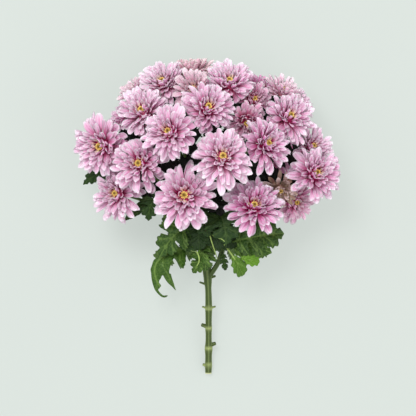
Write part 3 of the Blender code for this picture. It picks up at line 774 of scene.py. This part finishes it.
def whorlTree(name, shape):
    tree, given = newTree(name, {
        "Petals": ("Int", 90), "Bloom Size": ("Float", 1.0), "Cup": ("Float", 0.0), "Seed": ("Int", 1),
        "Material": ("Material", None),
    })
    # one point for each petal, with what is its own
    index = Field(tree, addNode(tree, "GeometryNodeInputIndex").outputs[0])
    line = addNode(tree, "GeometryNodeMeshLine", {"Count": given["Petals"]}).outputs[0]
    line = store(tree, line, "ring", (index + 0.5) / given["Petals"])
    line = store(tree, line, "azimuth", index * goldenAngle)
    for k, label in enumerate(("wayward", "bending", "edging")):
        chance = chanceOf(tree, index, given["Seed"] * 3.0 + float(k))
        line = store(tree, line, label, chance, "FLOAT_VECTOR")
    # a plain closed tube stands for each petal until it is bent
    inputs = {"Vertices": shape["around"], "Side Segments": shape["stations"], "Radius": 1.0, "Depth": 1.0}
    tube = addNode(tree, "GeometryNodeMeshCylinder", inputs).outputs[0]
    across, side, along = placeOf(tree)
    tube = store(tree, tube, "petalAcross", across)
    tube = store(tree, tube, "petalSide", side)
    tube = store(tree, tube, "petalAlong", along + 0.5)
    real = copies(tree, line, tube)

    ring, azimuth = named(tree, "ring"), named(tree, "azimuth")
    turnChance, riseChance, reachChance = split(tree, named(tree, "wayward", "FLOAT_VECTOR"))
    bendChance, twistChance, widthChance = split(tree, named(tree, "bending", "FLOAT_VECTOR"))
    hookChance, sweepChance, waveChance = split(tree, named(tree, "edging", "FLOAT_VECTOR"))
    across, side, step = named(tree, "petalAcross"), named(tree, "petalSide"), named(tree, "petalAlong")
    along = step * (1.45 - step * 0.45)  # stations draw closer together towards the tip

    turnSpread, riseSpread, reachSpread = shape["spread"]
    reach = ring.curve(shape["reach"]) * (reachChance * reachSpread + 1.0)
    cup = given["Cup"] * ring.curve(shape["cupShare"])
    unruly = ring.ramp(0.0, 0.4, 1.4, 1.0)  # the inner petals stray most
    rise = (ring.curve(shape["rise"]) + cup + riseChance * riseSpread * unruly) * (math.pi / 180)
    bend = (ring.curve(shape["bend"]) + bendChance * 10.0 * unruly) * (math.pi / 180) * along
    halfWidth = ring.curve(shape["halfWidth"]) * (widthChance * 0.2 + 1.0) * along.curve(shape["outline"])
    roll = ring.curve(shape["roll"])
    sideways = halfWidth * (across * roll).sine() / roll
    lift = halfWidth * (1.0 - (across * roll).cosine()) / roll
    lift = lift + along.ramp(0.5, 1.0) * reach * (hookChance + 0.3) * shape["tipHook"]
    lift = lift + (along * 9.0 + waveChance * 3.0).sine() * across * across * 0.25
    lift = lift + side * (1.0 - along * 0.45) * shape["thickness"]
    twist = twistChance * along * 0.8
    turned = sideways * twist.cosine() - lift * twist.sine() + sweepChance * along * along * reach * 0.12
    lifted = sideways * twist.sine() + lift * twist.cosine()

    chord = reach * along * (1.0 - bend * bend / 24.0)
    middle, end = rise + bend * 0.5, rise + bend
    out = ring.curve(shape["rootRadius"]) + chord * middle.cosine() - lifted * end.sine()
    height = ring.curve(shape["rootHeight"]) + chord * middle.sine() + lifted * end.cosine()
    turn = azimuth + turnChance * turnSpread
    size = given["Bloom Size"]
    bent = move(tree, real, aboutAxis(tree, out, turned, height, turn, size))
    closeTree(tree, join(tree, bent, coreOf(tree, shape["core"], size)), given["Material"])
    return tree


petalTree = whorlTree("petalWhorl", petalShape)
bractTree = whorlTree("bractWhorl", bractShape)
bloomLook = {"fullPetals": 106, "youngPetals": 80, "youngRadius": 22.0, "seed": 40}
# how far blooms have turned beige, from 0, and over 0.6 wilted
warmBlooms = {14: 0.22, 15: 0.12, 16: 0.12, 24: 0.4, 20: 0.15, 22: 0.2, 25: 0.9, 18: 0.12}
# how much deeper and darker their pink is than the others', partly painted shade on blooms that lie in
# shadow, and under 0 how much paler, partly painted light
blushAndShadeBlooms = {
    1: -0.2, 3: 0.8, 6: 0.45, 9: 0.25, 11: -0.35, 12: -0.7, 13: -0.25, 14: -0.35, 15: 0.6, 16: 0.55,
    17: -0.15, 18: 0.6, 19: -0.3, 20: -0.6, 21: -0.5, 22: -0.5, 24: -0.3, 26: 0.2,
}

for bloom in blooms:
    petals = bloomLook["fullPetals"] if bloom.radius > bloomLook["youngRadius"] else bloomLook["youngPetals"]
    values = {
        "Petals": petals, "Bloom Size": bloom.size, "Cup": bloom.cup,
        "Seed": bloomLook["seed"] + bloom.number, "Material": petalFinish,
    }
    mesh = grow(f"bloomPetals{bloom.number:02d}", petalTree, values)
    place(mesh, bloom)
    chance = np.empty(len(mesh.vertices) * 3, np.float32)
    mesh.attributes["wayward"].data.foreach_get("vector", chance)
    mark(mesh, "tone", chance.reshape(-1, 3)[:, 1] * 0.5 + 0.5)
    mark(mesh, "warmth", warmBlooms.get(bloom.number, 0.0))
    mark(mesh, "blush", blushAndShadeBlooms.get(bloom.number, 0.0))
    addPiece(mesh.name, mesh, "petal", f"bloom_{bloom.number:02d}")
petalPieces = [piece for piece in bpy.data.objects if piece.name.startswith("bloomPetals")]
print("petals:", sum(len(piece.data.polygons) for piece in petalPieces), "faces")

# eyes: a low dome set with disc florets

eyeLook = {"florets": 60, "radius": 2.6, "doming": 1.3, "floretRadius": 0.33, "floretHeight": 1.2, "seed": 9}


def floretTree():
    tree, given = newTree("floretDome", {
        "Florets": ("Int", eyeLook["florets"]), "Bloom Size": ("Float", 1.0),
        "Eye Radius": ("Float", eyeLook["radius"]), "Doming": ("Float", eyeLook["doming"]),
        "Floret Radius": ("Float", eyeLook["floretRadius"]),
        "Floret Height": ("Float", eyeLook["floretHeight"]), "Seed": ("Int", 1),
        "Material": ("Material", None),
    })
    index = Field(tree, addNode(tree, "GeometryNodeInputIndex").outputs[0])
    line = addNode(tree, "GeometryNodeMeshLine", {"Count": given["Florets"]}).outputs[0]
    line = store(tree, line, "ring", ((index + 0.5) / given["Florets"]) ** 0.5)
    line = store(tree, line, "azimuth", index * goldenAngle)
    line = store(tree, line, "wayward", chanceOf(tree, index, given["Seed"]), "FLOAT_VECTOR")
    inputs = {"Vertices": 6, "Side Segments": 3, "Radius": 1.0, "Depth": 1.0}
    tube = addNode(tree, "GeometryNodeMeshCylinder", inputs).outputs[0]
    x, y, z = placeOf(tree)
    tube = store(tree, tube, "floretX", x)
    tube = store(tree, tube, "floretY", y)
    tube = store(tree, tube, "floretUp", z + 0.5)
    real = copies(tree, line, tube)

    ring, azimuth, up = named(tree, "ring"), named(tree, "azimuth"), named(tree, "floretUp")
    x, y = named(tree, "floretX"), named(tree, "floretY")
    heightChance, leanChance, turnChance = split(tree, named(tree, "wayward", "FLOAT_VECTOR"))
    lean = (ring * 0.75 + leanChance * 0.15) * up
    bulge = up.curve(((0, 0.8), (0.35, 0.75), (0.75, 1.25), (1, 0.7))) * given["Floret Radius"]
    tall = given["Floret Height"] * (ring * 0.7 + 0.6) * (heightChance * 0.2 + 1.0)
    out = ring * given["Eye Radius"] + x * bulge + tall * lean * 0.5
    sideways = y * bulge
    height = given["Doming"] * (1.0 - ring * ring) + up * tall - x * bulge * lean
    turn = azimuth + turnChance * 0.1
    size = given["Bloom Size"]
    bent = move(tree, real, aboutAxis(tree, out, sideways, height, turn, size))
    # the dome that they stand on
    inputs = {"Segments": 16, "Rings": 8, "Radius": 1.0}
    ball = addNode(tree, "GeometryNodeMeshUVSphere", inputs).outputs[0]
    wide = given["Eye Radius"] * size
    scale = combine(tree, wide, wide, given["Doming"] * size)
    dome = addNode(tree, "GeometryNodeTransform", {"Geometry": ball, "Scale": scale}).outputs[0]
    closeTree(tree, join(tree, bent, dome), given["Material"])
    return tree


domeTree = floretTree()
for bloom in blooms:
    values = {"Bloom Size": bloom.size, "Seed": eyeLook["seed"] + bloom.number, "Material": eyeFinish}
    mesh = grow(f"bloomEye{bloom.number:02d}", domeTree, values)
    seat = 8.8 * bloom.size + 0.5
    setPoints(mesh, points(mesh) + np.array([0, 0, seat]))
    place(mesh, bloom, fitted=False)
    addPiece(mesh.name, mesh, "eye", f"eye_{bloom.number:02d}")
print("eyes ready")

# stems: tubes along smooth lines


def smoothLine(corners, count):
    # points spaced along a smooth curve through the corners
    corners = [Vector(c) for c in corners]
    padded = [2 * corners[0] - corners[1], *corners, 2 * corners[-1] - corners[-2]]
    line = []
    for k in range(count):
        reach = k / (count - 1) * (len(corners) - 1)
        i = min(int(reach), len(corners) - 2)
        t = reach - i
        a, b, c, d = padded[i : i + 4]
        squared = (2 * a - 5 * b + 4 * c - d) * t**2
        cubed = (3 * b - a - 3 * c + d) * t**3
        line.append(0.5 * (2 * b + (c - a) * t + squared + cubed))
    return line


def behindBlooms(point, own):
    # moves a point of a stalk back until it is behind the petals near it
    for bloom in blooms:
        if bloom is own:
            continue
        away = point - bloom.foot
        height = away.dot(bloom.axis)
        beside = (away - bloom.axis * height).length
        depth = 6.0 * bloom.size + 3.0
        if beside < bloom.radius + 3.0 and -depth < height < bloom.radius:
            point = point - bloom.axis * (height + depth)
    return point


def stalkCorners(bloom, branchLine):
    under = bloom.foot - bloom.axis * 7.5 * bloom.size
    root = branchLine[0]
    start = min(branchLine, key=lambda p: (p - under).length + 0.85 * (p - root).length)
    lead = under - bloom.axis * 0.4 * (under - start).length
    return [start, behindBlooms(lead, bloom), under]


def tubeTree():
    tree, given = newTree("ridgedTube", {
        "Sides": ("Int", 14), "Ridges": ("Int", 7), "Ridge Depth": ("Float", 0.04),
        "Material": ("Material", None),
    })
    curve = addNode(tree, "GeometryNodeMeshToCurve", {0: given["Geometry"]}).outputs[0]
    inputs = {"Resolution": given["Sides"], "Radius": 1.0}
    ringLine = addNode(tree, "GeometryNodeCurvePrimitiveCircle", inputs).outputs[0]
    share = addNode(tree, "GeometryNodeSplineParameter").outputs["Factor"]
    ringLine = store(tree, ringLine, "around", share)
    inputs = {"Curve": curve, "Profile Curve": ringLine, "Scale": named(tree, "thickness"), "Fill Caps": True}
    tube = addNode(tree, "GeometryNodeCurveToMesh", inputs).outputs[0]
    tube = store(tree, tube, "ridge", (named(tree, "around") * math.tau * given["Ridges"] + math.pi).cosine())
    depth = named(tree, "ridge") * given["Ridge Depth"] * named(tree, "thickness")
    normal = addNode(tree, "GeometryNodeInputNormal").outputs[0]
    offset = addNode(tree, "ShaderNodeVectorMath", {0: normal, "Scale": depth}, operation="SCALE").outputs[0]
    ridged = addNode(tree, "GeometryNodeSetPosition", {"Geometry": tube, "Offset": offset}).outputs[0]
    closeTree(tree, ridged, given["Material"])
    return tree


tubes = tubeTree()


def tubeMesh(name, lines, sides, ridges, depth):
    # one mesh of tubes from [(points, radii)]
    places, edges, radii = [], [], []
    for line, sizes in lines:
        first = len(places)
        places += line
        radii += list(sizes)
        edges += [(first + k, first + k + 1) for k in range(len(line) - 1)]
    start = bpy.data.meshes.new(name + "Lines")
    start.from_pydata([tuple(p) for p in places], edges, [])
    mark(start, "thickness", radii)
    values = {"Sides": sides, "Ridges": ridges, "Ridge Depth": depth, "Material": stemFinish}
    return grow(name, tubes, values, start)


def finishStem(mesh):
    places = points(mesh)
    mark(mesh, "height", np.clip((places[:, 1] + 198) / 155, 0, 1))
    mark(mesh, "cut", places[:, 1] < stemPath[0].y + 0.15)
    knots = [along for along, _, reach in stemLook["knots"] if reach < 4]
    mark(mesh, "knot", sum(np.exp(-(((places[:, 1] - along) / 1.3) ** 2)) for along in knots))
    intoFrame(mesh, places)


stemLook = {
    "points": 90, "radius": 2.9, "swell": 0.05, "ridges": 6, "ridgeDepth": 0.04,
    # knots where leaves grew and branches fork: (along, radius added, reach)
    "knots": (
        (-190, 0.3, 3), (-175, 0.7, 3.5), (-157, 0.35, 3), (-138.8, 0.25, 3), (-115, 0.5, 4), (-106, 1.1, 8),
    ),
}


def stemRadius(share, along):
    k = share * 13
    knots = sum(more * math.exp(-(((along - y) / reach) ** 2)) for y, more, reach in stemLook["knots"])
    return stemLook["radius"] * (1 + stemLook["swell"] * math.sin(2 * k)) * (1 - 0.05 * max(k - 7, 0)) + knots


stemFine = smoothLine(stemLine, 60)
stemPath = smoothLine(stemLine, stemLook["points"])
# a short first step, so that the cut end keeps a clean edge
stemPath.insert(1, stemPath[0].lerp(stemPath[1], 0.12))
stemSizes = [stemRadius(max(k - 1, 0) / (len(stemPath) - 2), p.y) for k, p in enumerate(stemPath)]
mainStem = tubeMesh("mainStem", [(stemPath, stemSizes)], 32, stemLook["ridges"], stemLook["ridgeDepth"])
finishStem(mainStem)
addPiece("mainStem", mainStem, "foliage", "leafy_stem")


def onStem(along):
    return min(stemFine, key=lambda p: abs(p.y - along))


sideLines = []
for along, angle, length, radius in stubTable:
    way = Vector((math.cos(math.radians(angle)), 0.35, 0.25)).normalized()
    start = onStem(along)
    shares = (0.0, 0.45, 0.7, 0.9, 1.0)
    sizes = (1.25, 1.1, 1.0, 0.95, 0.75)
    sideLines.append(([start + way * length * s for s in shares], [radius * s for s in sizes]))
branchLines = {}
for label, (along, corners) in branchTable.items():
    route = [onStem(along), *corners]
    branchLines[label] = smoothLine(route, 60)
    line = smoothLine(route, 28)
    sideLines.append((line, [2.3 - 0.7 * k / 27 for k in range(28)]))
for bloom in blooms:
    corners = stalkCorners(bloom, branchLines[bloom.branch][25:])
    tip = bloom.foot - bloom.axis * 3.0 * bloom.size
    line = smoothLine([*corners, tip], 22)
    sizes = [1.3 + 0.9 * max(0.0, k / 21 - 0.75) * 4 * bloom.size * 0.5 for k in range(22)]
    sideLines.append((line, sizes))
sideStems = tubeMesh("sideStems", sideLines, 12, 5, 0.05)
finishStem(sideStems)
addPiece("sideStems", sideStems, "foliage", "leafy_stem")

# pale young stalks that cross in front of the leaves: their lines, and how thick they are
youngStalks = [
    ((
        (-16, -84.5, 45), (-12.7, -87.6, 54), (-9.4, -88, 60), (-7.2, -91.8, 61), (-6.8, -96.9, 58),
        (-8.6, -100.5, 53.5), (-9.4, -102.4, 50),
    ), 0.75),
    (((-1, -70, 44), (3, -73, 60), (8.5, -76, 68), (12.5, -77.4, 69), (15, -80, 67), (14.5, -84, 56)), 0.65),
    (((0, -66, 48), (0.8, -69, 62), (4.3, -80.8, 64), (7.7, -91, 56), (9, -95, 43)), 0.6),
    (((14.5, -84, 47), (17.6, -86.3, 56), (21.4, -91.3, 60.4), (24, -95.5, 60)), 0.8),
]
youngLines = []
for route, radius in youngStalks:
    youngLines.append((smoothLine(route, 24), [radius * (1.1 - 0.6 * k / 23) for k in range(24)]))
youngStems = tubeMesh("youngStalks", youngLines, 10, 5, 0.05)
finishStem(youngStems)
mark(youngStems, "young", 1.0)
addPiece("youngStalks", youngStems, "foliage", "leafy_stem")
print("stems ready")

# calyxes: a green cup under each bloom, set with bracts


def joined(name, meshes, finish):
    # several meshes as one, with their point attributes
    holders = []
    for mesh in meshes:
        holder = bpy.data.objects.new(name, mesh)
        bpy.context.scene.collection.objects.link(holder)
        holders.append(holder)
    with bpy.context.temp_override(active_object=holders[0], selected_editable_objects=holders):
        bpy.ops.object.join()
    mesh = holders[0].data
    bpy.data.objects.remove(holders[0], do_unlink=True)
    mesh.materials.clear()
    mesh.materials.append(finish)
    mesh.name = name
    return mesh


calyxParts = []
for bloom in blooms:
    values = {
        "Petals": 21, "Bloom Size": bloom.size, "Cup": 0.0,
        "Seed": 300 + bloom.number, "Material": stemFinish,
    }
    calyx = grow("calyx", bractTree, values)
    place(calyx, bloom, fitted=False)
    mark(calyx, "height", 0.85)
    calyxParts.append(calyx)
calyxes = joined("calyxes", calyxParts, stemFinish)
addPiece("calyxes", calyxes, "foliage", "leafy_stem")
print("calyxes ready")

# leaves: lobed, toothed blades with sunken veins

leafOutline = [
    (0.0, 0.018), (0.1, 0.019), (0.2, 0.022), (0.222, 0.055), (0.225, 0.11), (0.222, 0.145),
    (0.245, 0.168), (0.275, 0.19), (0.3, 0.188), (0.325, 0.222), (0.352, 0.218), (0.388, 0.244),
    (0.402, 0.215), (0.396, 0.165), (0.388, 0.115), (0.394, 0.078), (0.412, 0.068), (0.432, 0.095),
    (0.448, 0.15), (0.456, 0.195), (0.476, 0.222), (0.505, 0.218), (0.535, 0.262), (0.565, 0.252),
    (0.605, 0.29), (0.63, 0.272), (0.666, 0.294), (0.672, 0.25), (0.655, 0.19), (0.645, 0.13),
    (0.655, 0.092), (0.675, 0.1), (0.7, 0.152), (0.72, 0.192), (0.748, 0.182), (0.782, 0.206),
    (0.812, 0.178), (0.852, 0.186), (0.872, 0.15), (0.872, 0.105), (0.895, 0.088), (0.93, 0.098),
    (0.945, 0.066), (0.97, 0.04),
]
# veins: from a point of the rib out into the lobes
leafVeins = [
    ((0.0, 0.0), (1.0, 0.0)), ((0.2, 0.0), (0.3, 0.15)), ((0.25, 0.0), (0.385, 0.235)),
    ((0.3, 0.08), (0.28, 0.18)), ((0.4, 0.0), (0.52, 0.2)), ((0.44, 0.0), (0.655, 0.285)),
    ((0.53, 0.12), (0.535, 0.25)), ((0.58, 0.18), (0.6, 0.28)), ((0.6, 0.0), (0.73, 0.17)),
    ((0.66, 0.0), (0.85, 0.18)), ((0.76, 0.09), (0.785, 0.2)), ((0.78, 0.0), (0.93, 0.09)),
]
leafLook = {
    "spacing": 0.026, "fold": 0.25, "droop": 1.1, "wave": 0.02, "quilt": 0.015, "edgeWave": 0.016,
    "halfThickness": 0.2, "stalkHalfThickness": 0.8, "ribDepth": 0.55,
}
lanceOutline = [
    (0.0, 0.018), (0.12, 0.02), (0.2, 0.03), (0.3, 0.085), (0.38, 0.1), (0.42, 0.125), (0.52, 0.15),
    (0.58, 0.145), (0.63, 0.155), (0.74, 0.125), (0.8, 0.115), (0.86, 0.085), (0.94, 0.04),
]
# the long curled leaf: nearly smooth outside its curve, with long fingers inside it
clawOuter = [
    (0.0, 0.018), (0.14, 0.012), (0.22, 0.014), (0.27, 0.022), (0.33, 0.018), (0.38, 0.026),
    (0.45, 0.024), (0.5, 0.034), (0.58, 0.032), (0.64, 0.04), (0.7, 0.036), (0.78, 0.044), (0.84, 0.052),
    (0.88, 0.058), (0.92, 0.054), (0.96, 0.045), (0.99, 0.018),
]
clawInner = [
    (0.0, 0.018), (0.1, 0.014), (0.145, 0.022), (0.155, 0.075), (0.17, 0.105), (0.176, 0.135),
    (0.19, 0.145), (0.196, 0.17), (0.214, 0.176), (0.226, 0.198), (0.246, 0.198), (0.262, 0.168),
    (0.264, 0.12), (0.256, 0.085), (0.266, 0.074), (0.3, 0.082), (0.35, 0.114), (0.4, 0.142),
    (0.45, 0.158), (0.52, 0.162), (0.6, 0.162), (0.7, 0.16), (0.8, 0.155), (0.89, 0.138), (0.95, 0.118),
    (0.985, 0.1), (0.93, 0.098), (0.87, 0.09), (0.8, 0.086), (0.74, 0.082), (0.735, 0.072), (0.78, 0.048),
    (0.81, 0.022), (0.84, 0.01), (0.87, 0.014), (0.888, -0.004), (0.89, -0.03), (0.92, -0.033),
    (0.96, -0.026), (0.985, -0.008),
]
# a small blade on a long stalk
spoonOutline = [
    (0.0, 0.012), (0.44, 0.012), (0.52, 0.03), (0.555, 0.07), (0.572, 0.105), (0.6, 0.092), (0.64, 0.11),
    (0.672, 0.15), (0.695, 0.178), (0.73, 0.166), (0.76, 0.16), (0.79, 0.186), (0.83, 0.205),
    (0.858, 0.19), (0.872, 0.158), (0.905, 0.15), (0.935, 0.16), (0.962, 0.138), (0.968, 0.09),
    (0.985, 0.06),
]
clawVeins = [
    ((0.0, 0.0), (1.0, 0.0)), ((0.2, 0.0), (0.25, 0.17)), ((0.36, 0.0), (0.56, 0.13)),
    ((0.56, 0.13), (0.96, 0.12)),
]
spoonVeins = [
    ((0.0, 0.0), (1.0, 0.0)), ((0.55, 0.0), (0.61, 0.14)), ((0.58, 0.0), (0.75, 0.17)),
    ((0.7, 0.0), (0.9, 0.13)),
]
# form: (outlines of its two sides, how deeply they are cut, veins, whether both sides have them)
leafForms = {
    "lobed": ((leafOutline, leafOutline), 0.2, leafVeins, True),
    "broad": ((leafOutline, leafOutline), -0.2, leafVeins, True),
    "spoon": ((spoonOutline, spoonOutline), 0.15, spoonVeins, True),
    "claw": ((clawOuter, clawInner), 0.0, clawVeins, False),
    "lance": ((lanceOutline, lanceOutline), 0.0, leafVeins, True),
}


def veinGap(places, veins, mirrored):
    # how far each point is from the nearest vein
    nearest = np.full(len(places), 1.0)
    folded = np.column_stack((places[:, 0], np.abs(places[:, 1]) if mirrored else places[:, 1]))
    for start, end in veins:
        start, end = np.array(start), np.array(end)
        way = end - start
        share = np.clip((folded - start) @ way / (way @ way), 0, 1)
        gap = np.linalg.norm(folded - (start + share[:, None] * way), axis=1)
        nearest = np.minimum(nearest, gap + 0.004 * share)
    return nearest


def leafEdge(corners, depth):
    # one side of a leaf from its foot up to its tip, with the hollows cut back
    widest = max(across for _, across in corners)
    cutBack = [Vector((along, across * (across / widest) ** depth, 0)) for along, across in corners]
    line = smoothLine([*cutBack, Vector((1.0, 0.0, 0))], 3 * len(corners) + 1)[:-1]
    least = min(0.006, *(across for _, across in corners))
    return [(p.x, max(p.y, least)) for p in line]


def leafPattern(form):
    # a flat closed leaf 1 long, as an object for the leaf tree to copy
    (rightSide, leftSide), depth, veins, mirrored = leafForms[form]
    right = [(along, -across) for along, across in leafEdge(rightSide, depth)]
    outline = [Vector(p) for p in [*right, (1.0, 0.0), *reversed(leafEdge(leftSide, depth))]]
    step = leafLook["spacing"]
    rows = range(-int(0.3 / step), int(0.3 / step) + 1)
    inner = [Vector(((i + 0.5 * (j % 2)) * step, j * step)) for i in range(int(1 / step) + 1) for j in rows]
    whole = [tuple(range(len(outline)))]
    found, _, faces, _, _, _ = delaunay_2d_cdt(outline + inner, [], whole, 1, 1e-5)
    sheet = np.array([p[:] for p in found])
    gaps = veinGap(sheet, veins, mirrored)
    count, rim = len(sheet), len(outline)
    allFaces = [tuple(face) for face in faces] + [tuple(count + k for k in reversed(face)) for face in faces]
    allFaces += [((k + 1) % rim, k, count + k, count + (k + 1) % rim) for k in range(rim)]
    mesh = bpy.data.meshes.new(form + "Pattern")
    flat = np.column_stack((sheet, np.zeros(count)))
    mesh.from_pydata(np.vstack((flat, flat)).tolist(), [], allFaces)
    mark(mesh, "leafAlong", np.tile(sheet[:, 0], 2))
    mark(mesh, "leafAcross", np.tile(sheet[:, 1], 2))
    mark(mesh, "leafSide", np.repeat([1.0, -1.0], count))
    mark(mesh, "veinGap", np.tile(gaps, 2))
    pattern = bpy.data.objects.new(mesh.name, mesh)
    bpy.context.scene.collection.objects.link(pattern)
    return pattern


def leafTree():
    look = leafLook
    tree, given = newTree("leafBed", {
        "Pattern": ("Object", None), "Fold": ("Float", look["fold"]), "Droop": ("Float", look["droop"]),
        "Wave": ("Float", look["wave"]), "Quilt": ("Float", look["quilt"]),
        "Edge Wave": ("Float", look["edgeWave"]), "Half Thickness": ("Float", look["halfThickness"]),
        "Stalk Half": ("Float", look["stalkHalfThickness"]), "Rib Depth": ("Float", look["ribDepth"]),
        "Material": ("Material", None),
    })
    pattern = addNode(tree, "GeometryNodeObjectInfo", {"Object": given["Pattern"]}).outputs["Geometry"]
    real = copies(tree, given["Geometry"], pattern)

    labels = ("leafRoot", "leafBend", "leafTip", "leafUpper")
    root, bend, tip, upper = (named(tree, label, "FLOAT_VECTOR") for label in labels)
    t, a, side, gap = (named(tree, label) for label in ("leafAlong", "leafAcross", "leafSide", "veinGap"))
    width, length, phase = (named(tree, label) for label in ("leafWidth", "leafLength", "phase"))
    back = 1.0 - t

    def scaled(vector, amount):
        return vectorMath(tree, "SCALE", vector, scale=amount)

    toBend = vectorMath(tree, "SUBTRACT", bend, root)
    toTip = vectorMath(tree, "SUBTRACT", tip, bend)
    centre = vectorMath(tree, "ADD", scaled(root, back * back), scaled(bend, back * t * 2.0))
    centre = vectorMath(tree, "ADD", centre, scaled(tip, t * t))
    ahead = vectorMath(tree, "ADD", scaled(toBend, back), scaled(toTip, t))
    ahead = vectorMath(tree, "NORMALIZE", ahead)
    beside = vectorMath(tree, "NORMALIZE", vectorMath(tree, "CROSS_PRODUCT", upper, ahead))
    above = vectorMath(tree, "CROSS_PRODUCT", ahead, beside)

    far = a.unsigned()
    blade = ((t - 0.2) / 0.06).math("MAXIMUM", 0.0).math("MINIMUM", 1.0)
    outward = (far * 4.0).math("MINIMUM", 1.2)
    lift = far * given["Fold"] - a * a * given["Droop"]
    lift = lift + (t * 9.0 + phase).sine() * given["Wave"] * (far / 0.03).math("MINIMUM", 1.0)
    raised = 1.0 - (gap * gap * -2500.0).math("EXPONENT")
    lift = lift + blade * given["Quilt"] * raised
    ripple = (t * 31.0 + phase * 5.0 + a.math("SIGN") * 2.0).sine() * given["Edge Wave"]
    lift = lift + ripple * outward * outward
    half = given["Half Thickness"] * blade + given["Stalk Half"] * (1.0 - blade)
    nearRib = a * length / 0.9
    rib = given["Rib Depth"] * (1.0 - t * 0.75) * (nearRib * nearRib * -1.0).math("EXPONENT") * blade
    lower = side.math("LESS_THAN", 0.0)
    height = lift * length + side * half - lower * rib
    moved = vectorMath(tree, "ADD", centre, scaled(beside, a * width * length))
    moved = vectorMath(tree, "ADD", moved, scaled(above, height))
    closeTree(tree, move(tree, real, moved), given["Material"])
    return tree


def leafPoints(rows, lines, draw):
    # one point for each leaf, which carries the leaf's own line
    seeds = bpy.data.meshes.new("leafSeeds")
    seeds.from_pydata([(0, 0, 0)] * len(rows), [], [])
    roots, bends, tips, uppers, widths, tones = zip(*rows)
    places = [p for line in lines for p in line]
    starts = [min(places, key=lambda p: (p - Vector(root)).length)[:] for root in roots]
    a, b, c = (np.array(values, float) for values in (starts, bends, tips))
    norm = np.linalg.norm
    lengths = 0.5 * (norm(b - a, axis=1) + norm(c - b, axis=1) + norm(c - a, axis=1))
    vectors = {"leafRoot": a, "leafBend": b, "leafTip": c, "leafUpper": np.array(uppers, float)}
    for label, values in vectors.items():
        layer = seeds.attributes.new(label, "FLOAT_VECTOR", "POINT")
        layer.data.foreach_set("vector", values.astype(np.float32).ravel())
    mark(seeds, "leafWidth", widths)
    mark(seeds, "leafLength", lengths)
    mark(seeds, "tone", tones)
    mark(seeds, "phase", [draw.uniform(0, math.tau) for _ in rows])
    return seeds


# what is special about a leaf of the table, by its row: form, how bright a green (low values partly painted
# shade), width
leafSpecials = {
    0: ("claw", 0.5, 1.0), 1: ("lobed", 0.42, 0.85), 2: ("lobed", 0.42, 1.0), 3: ("lobed", 0.5, 0.85),
    4: ("spoon", 0.66, 0.85), 5: ("lobed", 0.42, 1.1), 6: ("lobed", 0.55, 0.9), 7: ("lobed", 0.25, 1.1),
    8: ("lobed", 0.25, 1.1), 9: ("lobed", 0.25, 0.55), 10: ("lobed", 0.25, 1.0), 11: ("lance", 0.3, 0.7),
    len(leafTable) + 25: ("broad", 0.18, 1.3), len(leafTable) + 26: ("broad", 0.2, 1.2),
}
# more leaves at the foot of the head: line, upper side, width, form, how bright a green (low values partly
# painted shade)
footLeaves = [
    ((16, -86, 46), (28, -95, 68), (45, -97, 58), (0.1, 0.0, 1), 0.62, "spoon", 0.92),
    ((0, -80, 42), (0, -92, 60), (-1.7, -105.4, 52), (0.1, 0.0, 1), 1.0, "lobed", 0.45),
    ((-6, -62, 48), (-14.5, -74.8, 66), (-19.5, -87, 58), (-0.2, 0.0, 1), 1.2, "broad", 0.3),
    ((-4, -60, 48), (-9.4, -68, 70), (-6, -86.7, 60), (0.0, 0.0, 1), 1.2, "broad", 0.2),
    ((-4, -50, 52), (-23, -62.9, 64), (-29.8, -78.2, 56), (-0.2, 0.0, 1), 1.2, "broad", 0.28),
    ((13, -88, 44), (14.5, -96, 54), (15.9, -104.5, 48), (0.0, 0.0, 1), 0.65, "broad", 0.3),
    ((-2, -74, 44), (-6, -76, 66), (-7, -90, 58), (0.0, 0.0, 1), 0.3, "lance", 1.0),
]
leafRows = {form: [] for form in leafForms}
for k, row in enumerate(leafTable + shadeTable):
    # rows 12 to 16 of the leaf table and the leaves of the shade table take tone 0, the painted shade; the
    # leaves under the head take 0.45
    form, tone, width = leafSpecials.get(k, ("lobed", 0.45 if 17 <= k < len(leafTable) else 0.0, row[4]))
    leafRows[form].append((*row[:4], width, tone))
for *line, width, form, tone in footLeaves:
    leafRows[form].append((*line, width, tone))

leafBed = leafTree()
leafDraw = random.Random(7)
leafLines = [*branchLines.values(), stemFine]
leafMeshes = []
for form, rows in leafRows.items():
    pattern = leafPattern(form)
    values = {"Pattern": pattern, "Material": leafFinish}
    mesh = grow(form + "Leaves", leafBed, values, leafPoints(rows, leafLines, leafDraw))
    bpy.data.objects.remove(pattern, do_unlink=True)
    intoFrame(mesh, points(mesh))
    leafMeshes.append(mesh)
leaves = joined("leaves", leafMeshes, leafFinish)
addPiece("leaves", leaves, "foliage", "leafy_stem")
print("leaves:", len(leaves.polygons), "faces")
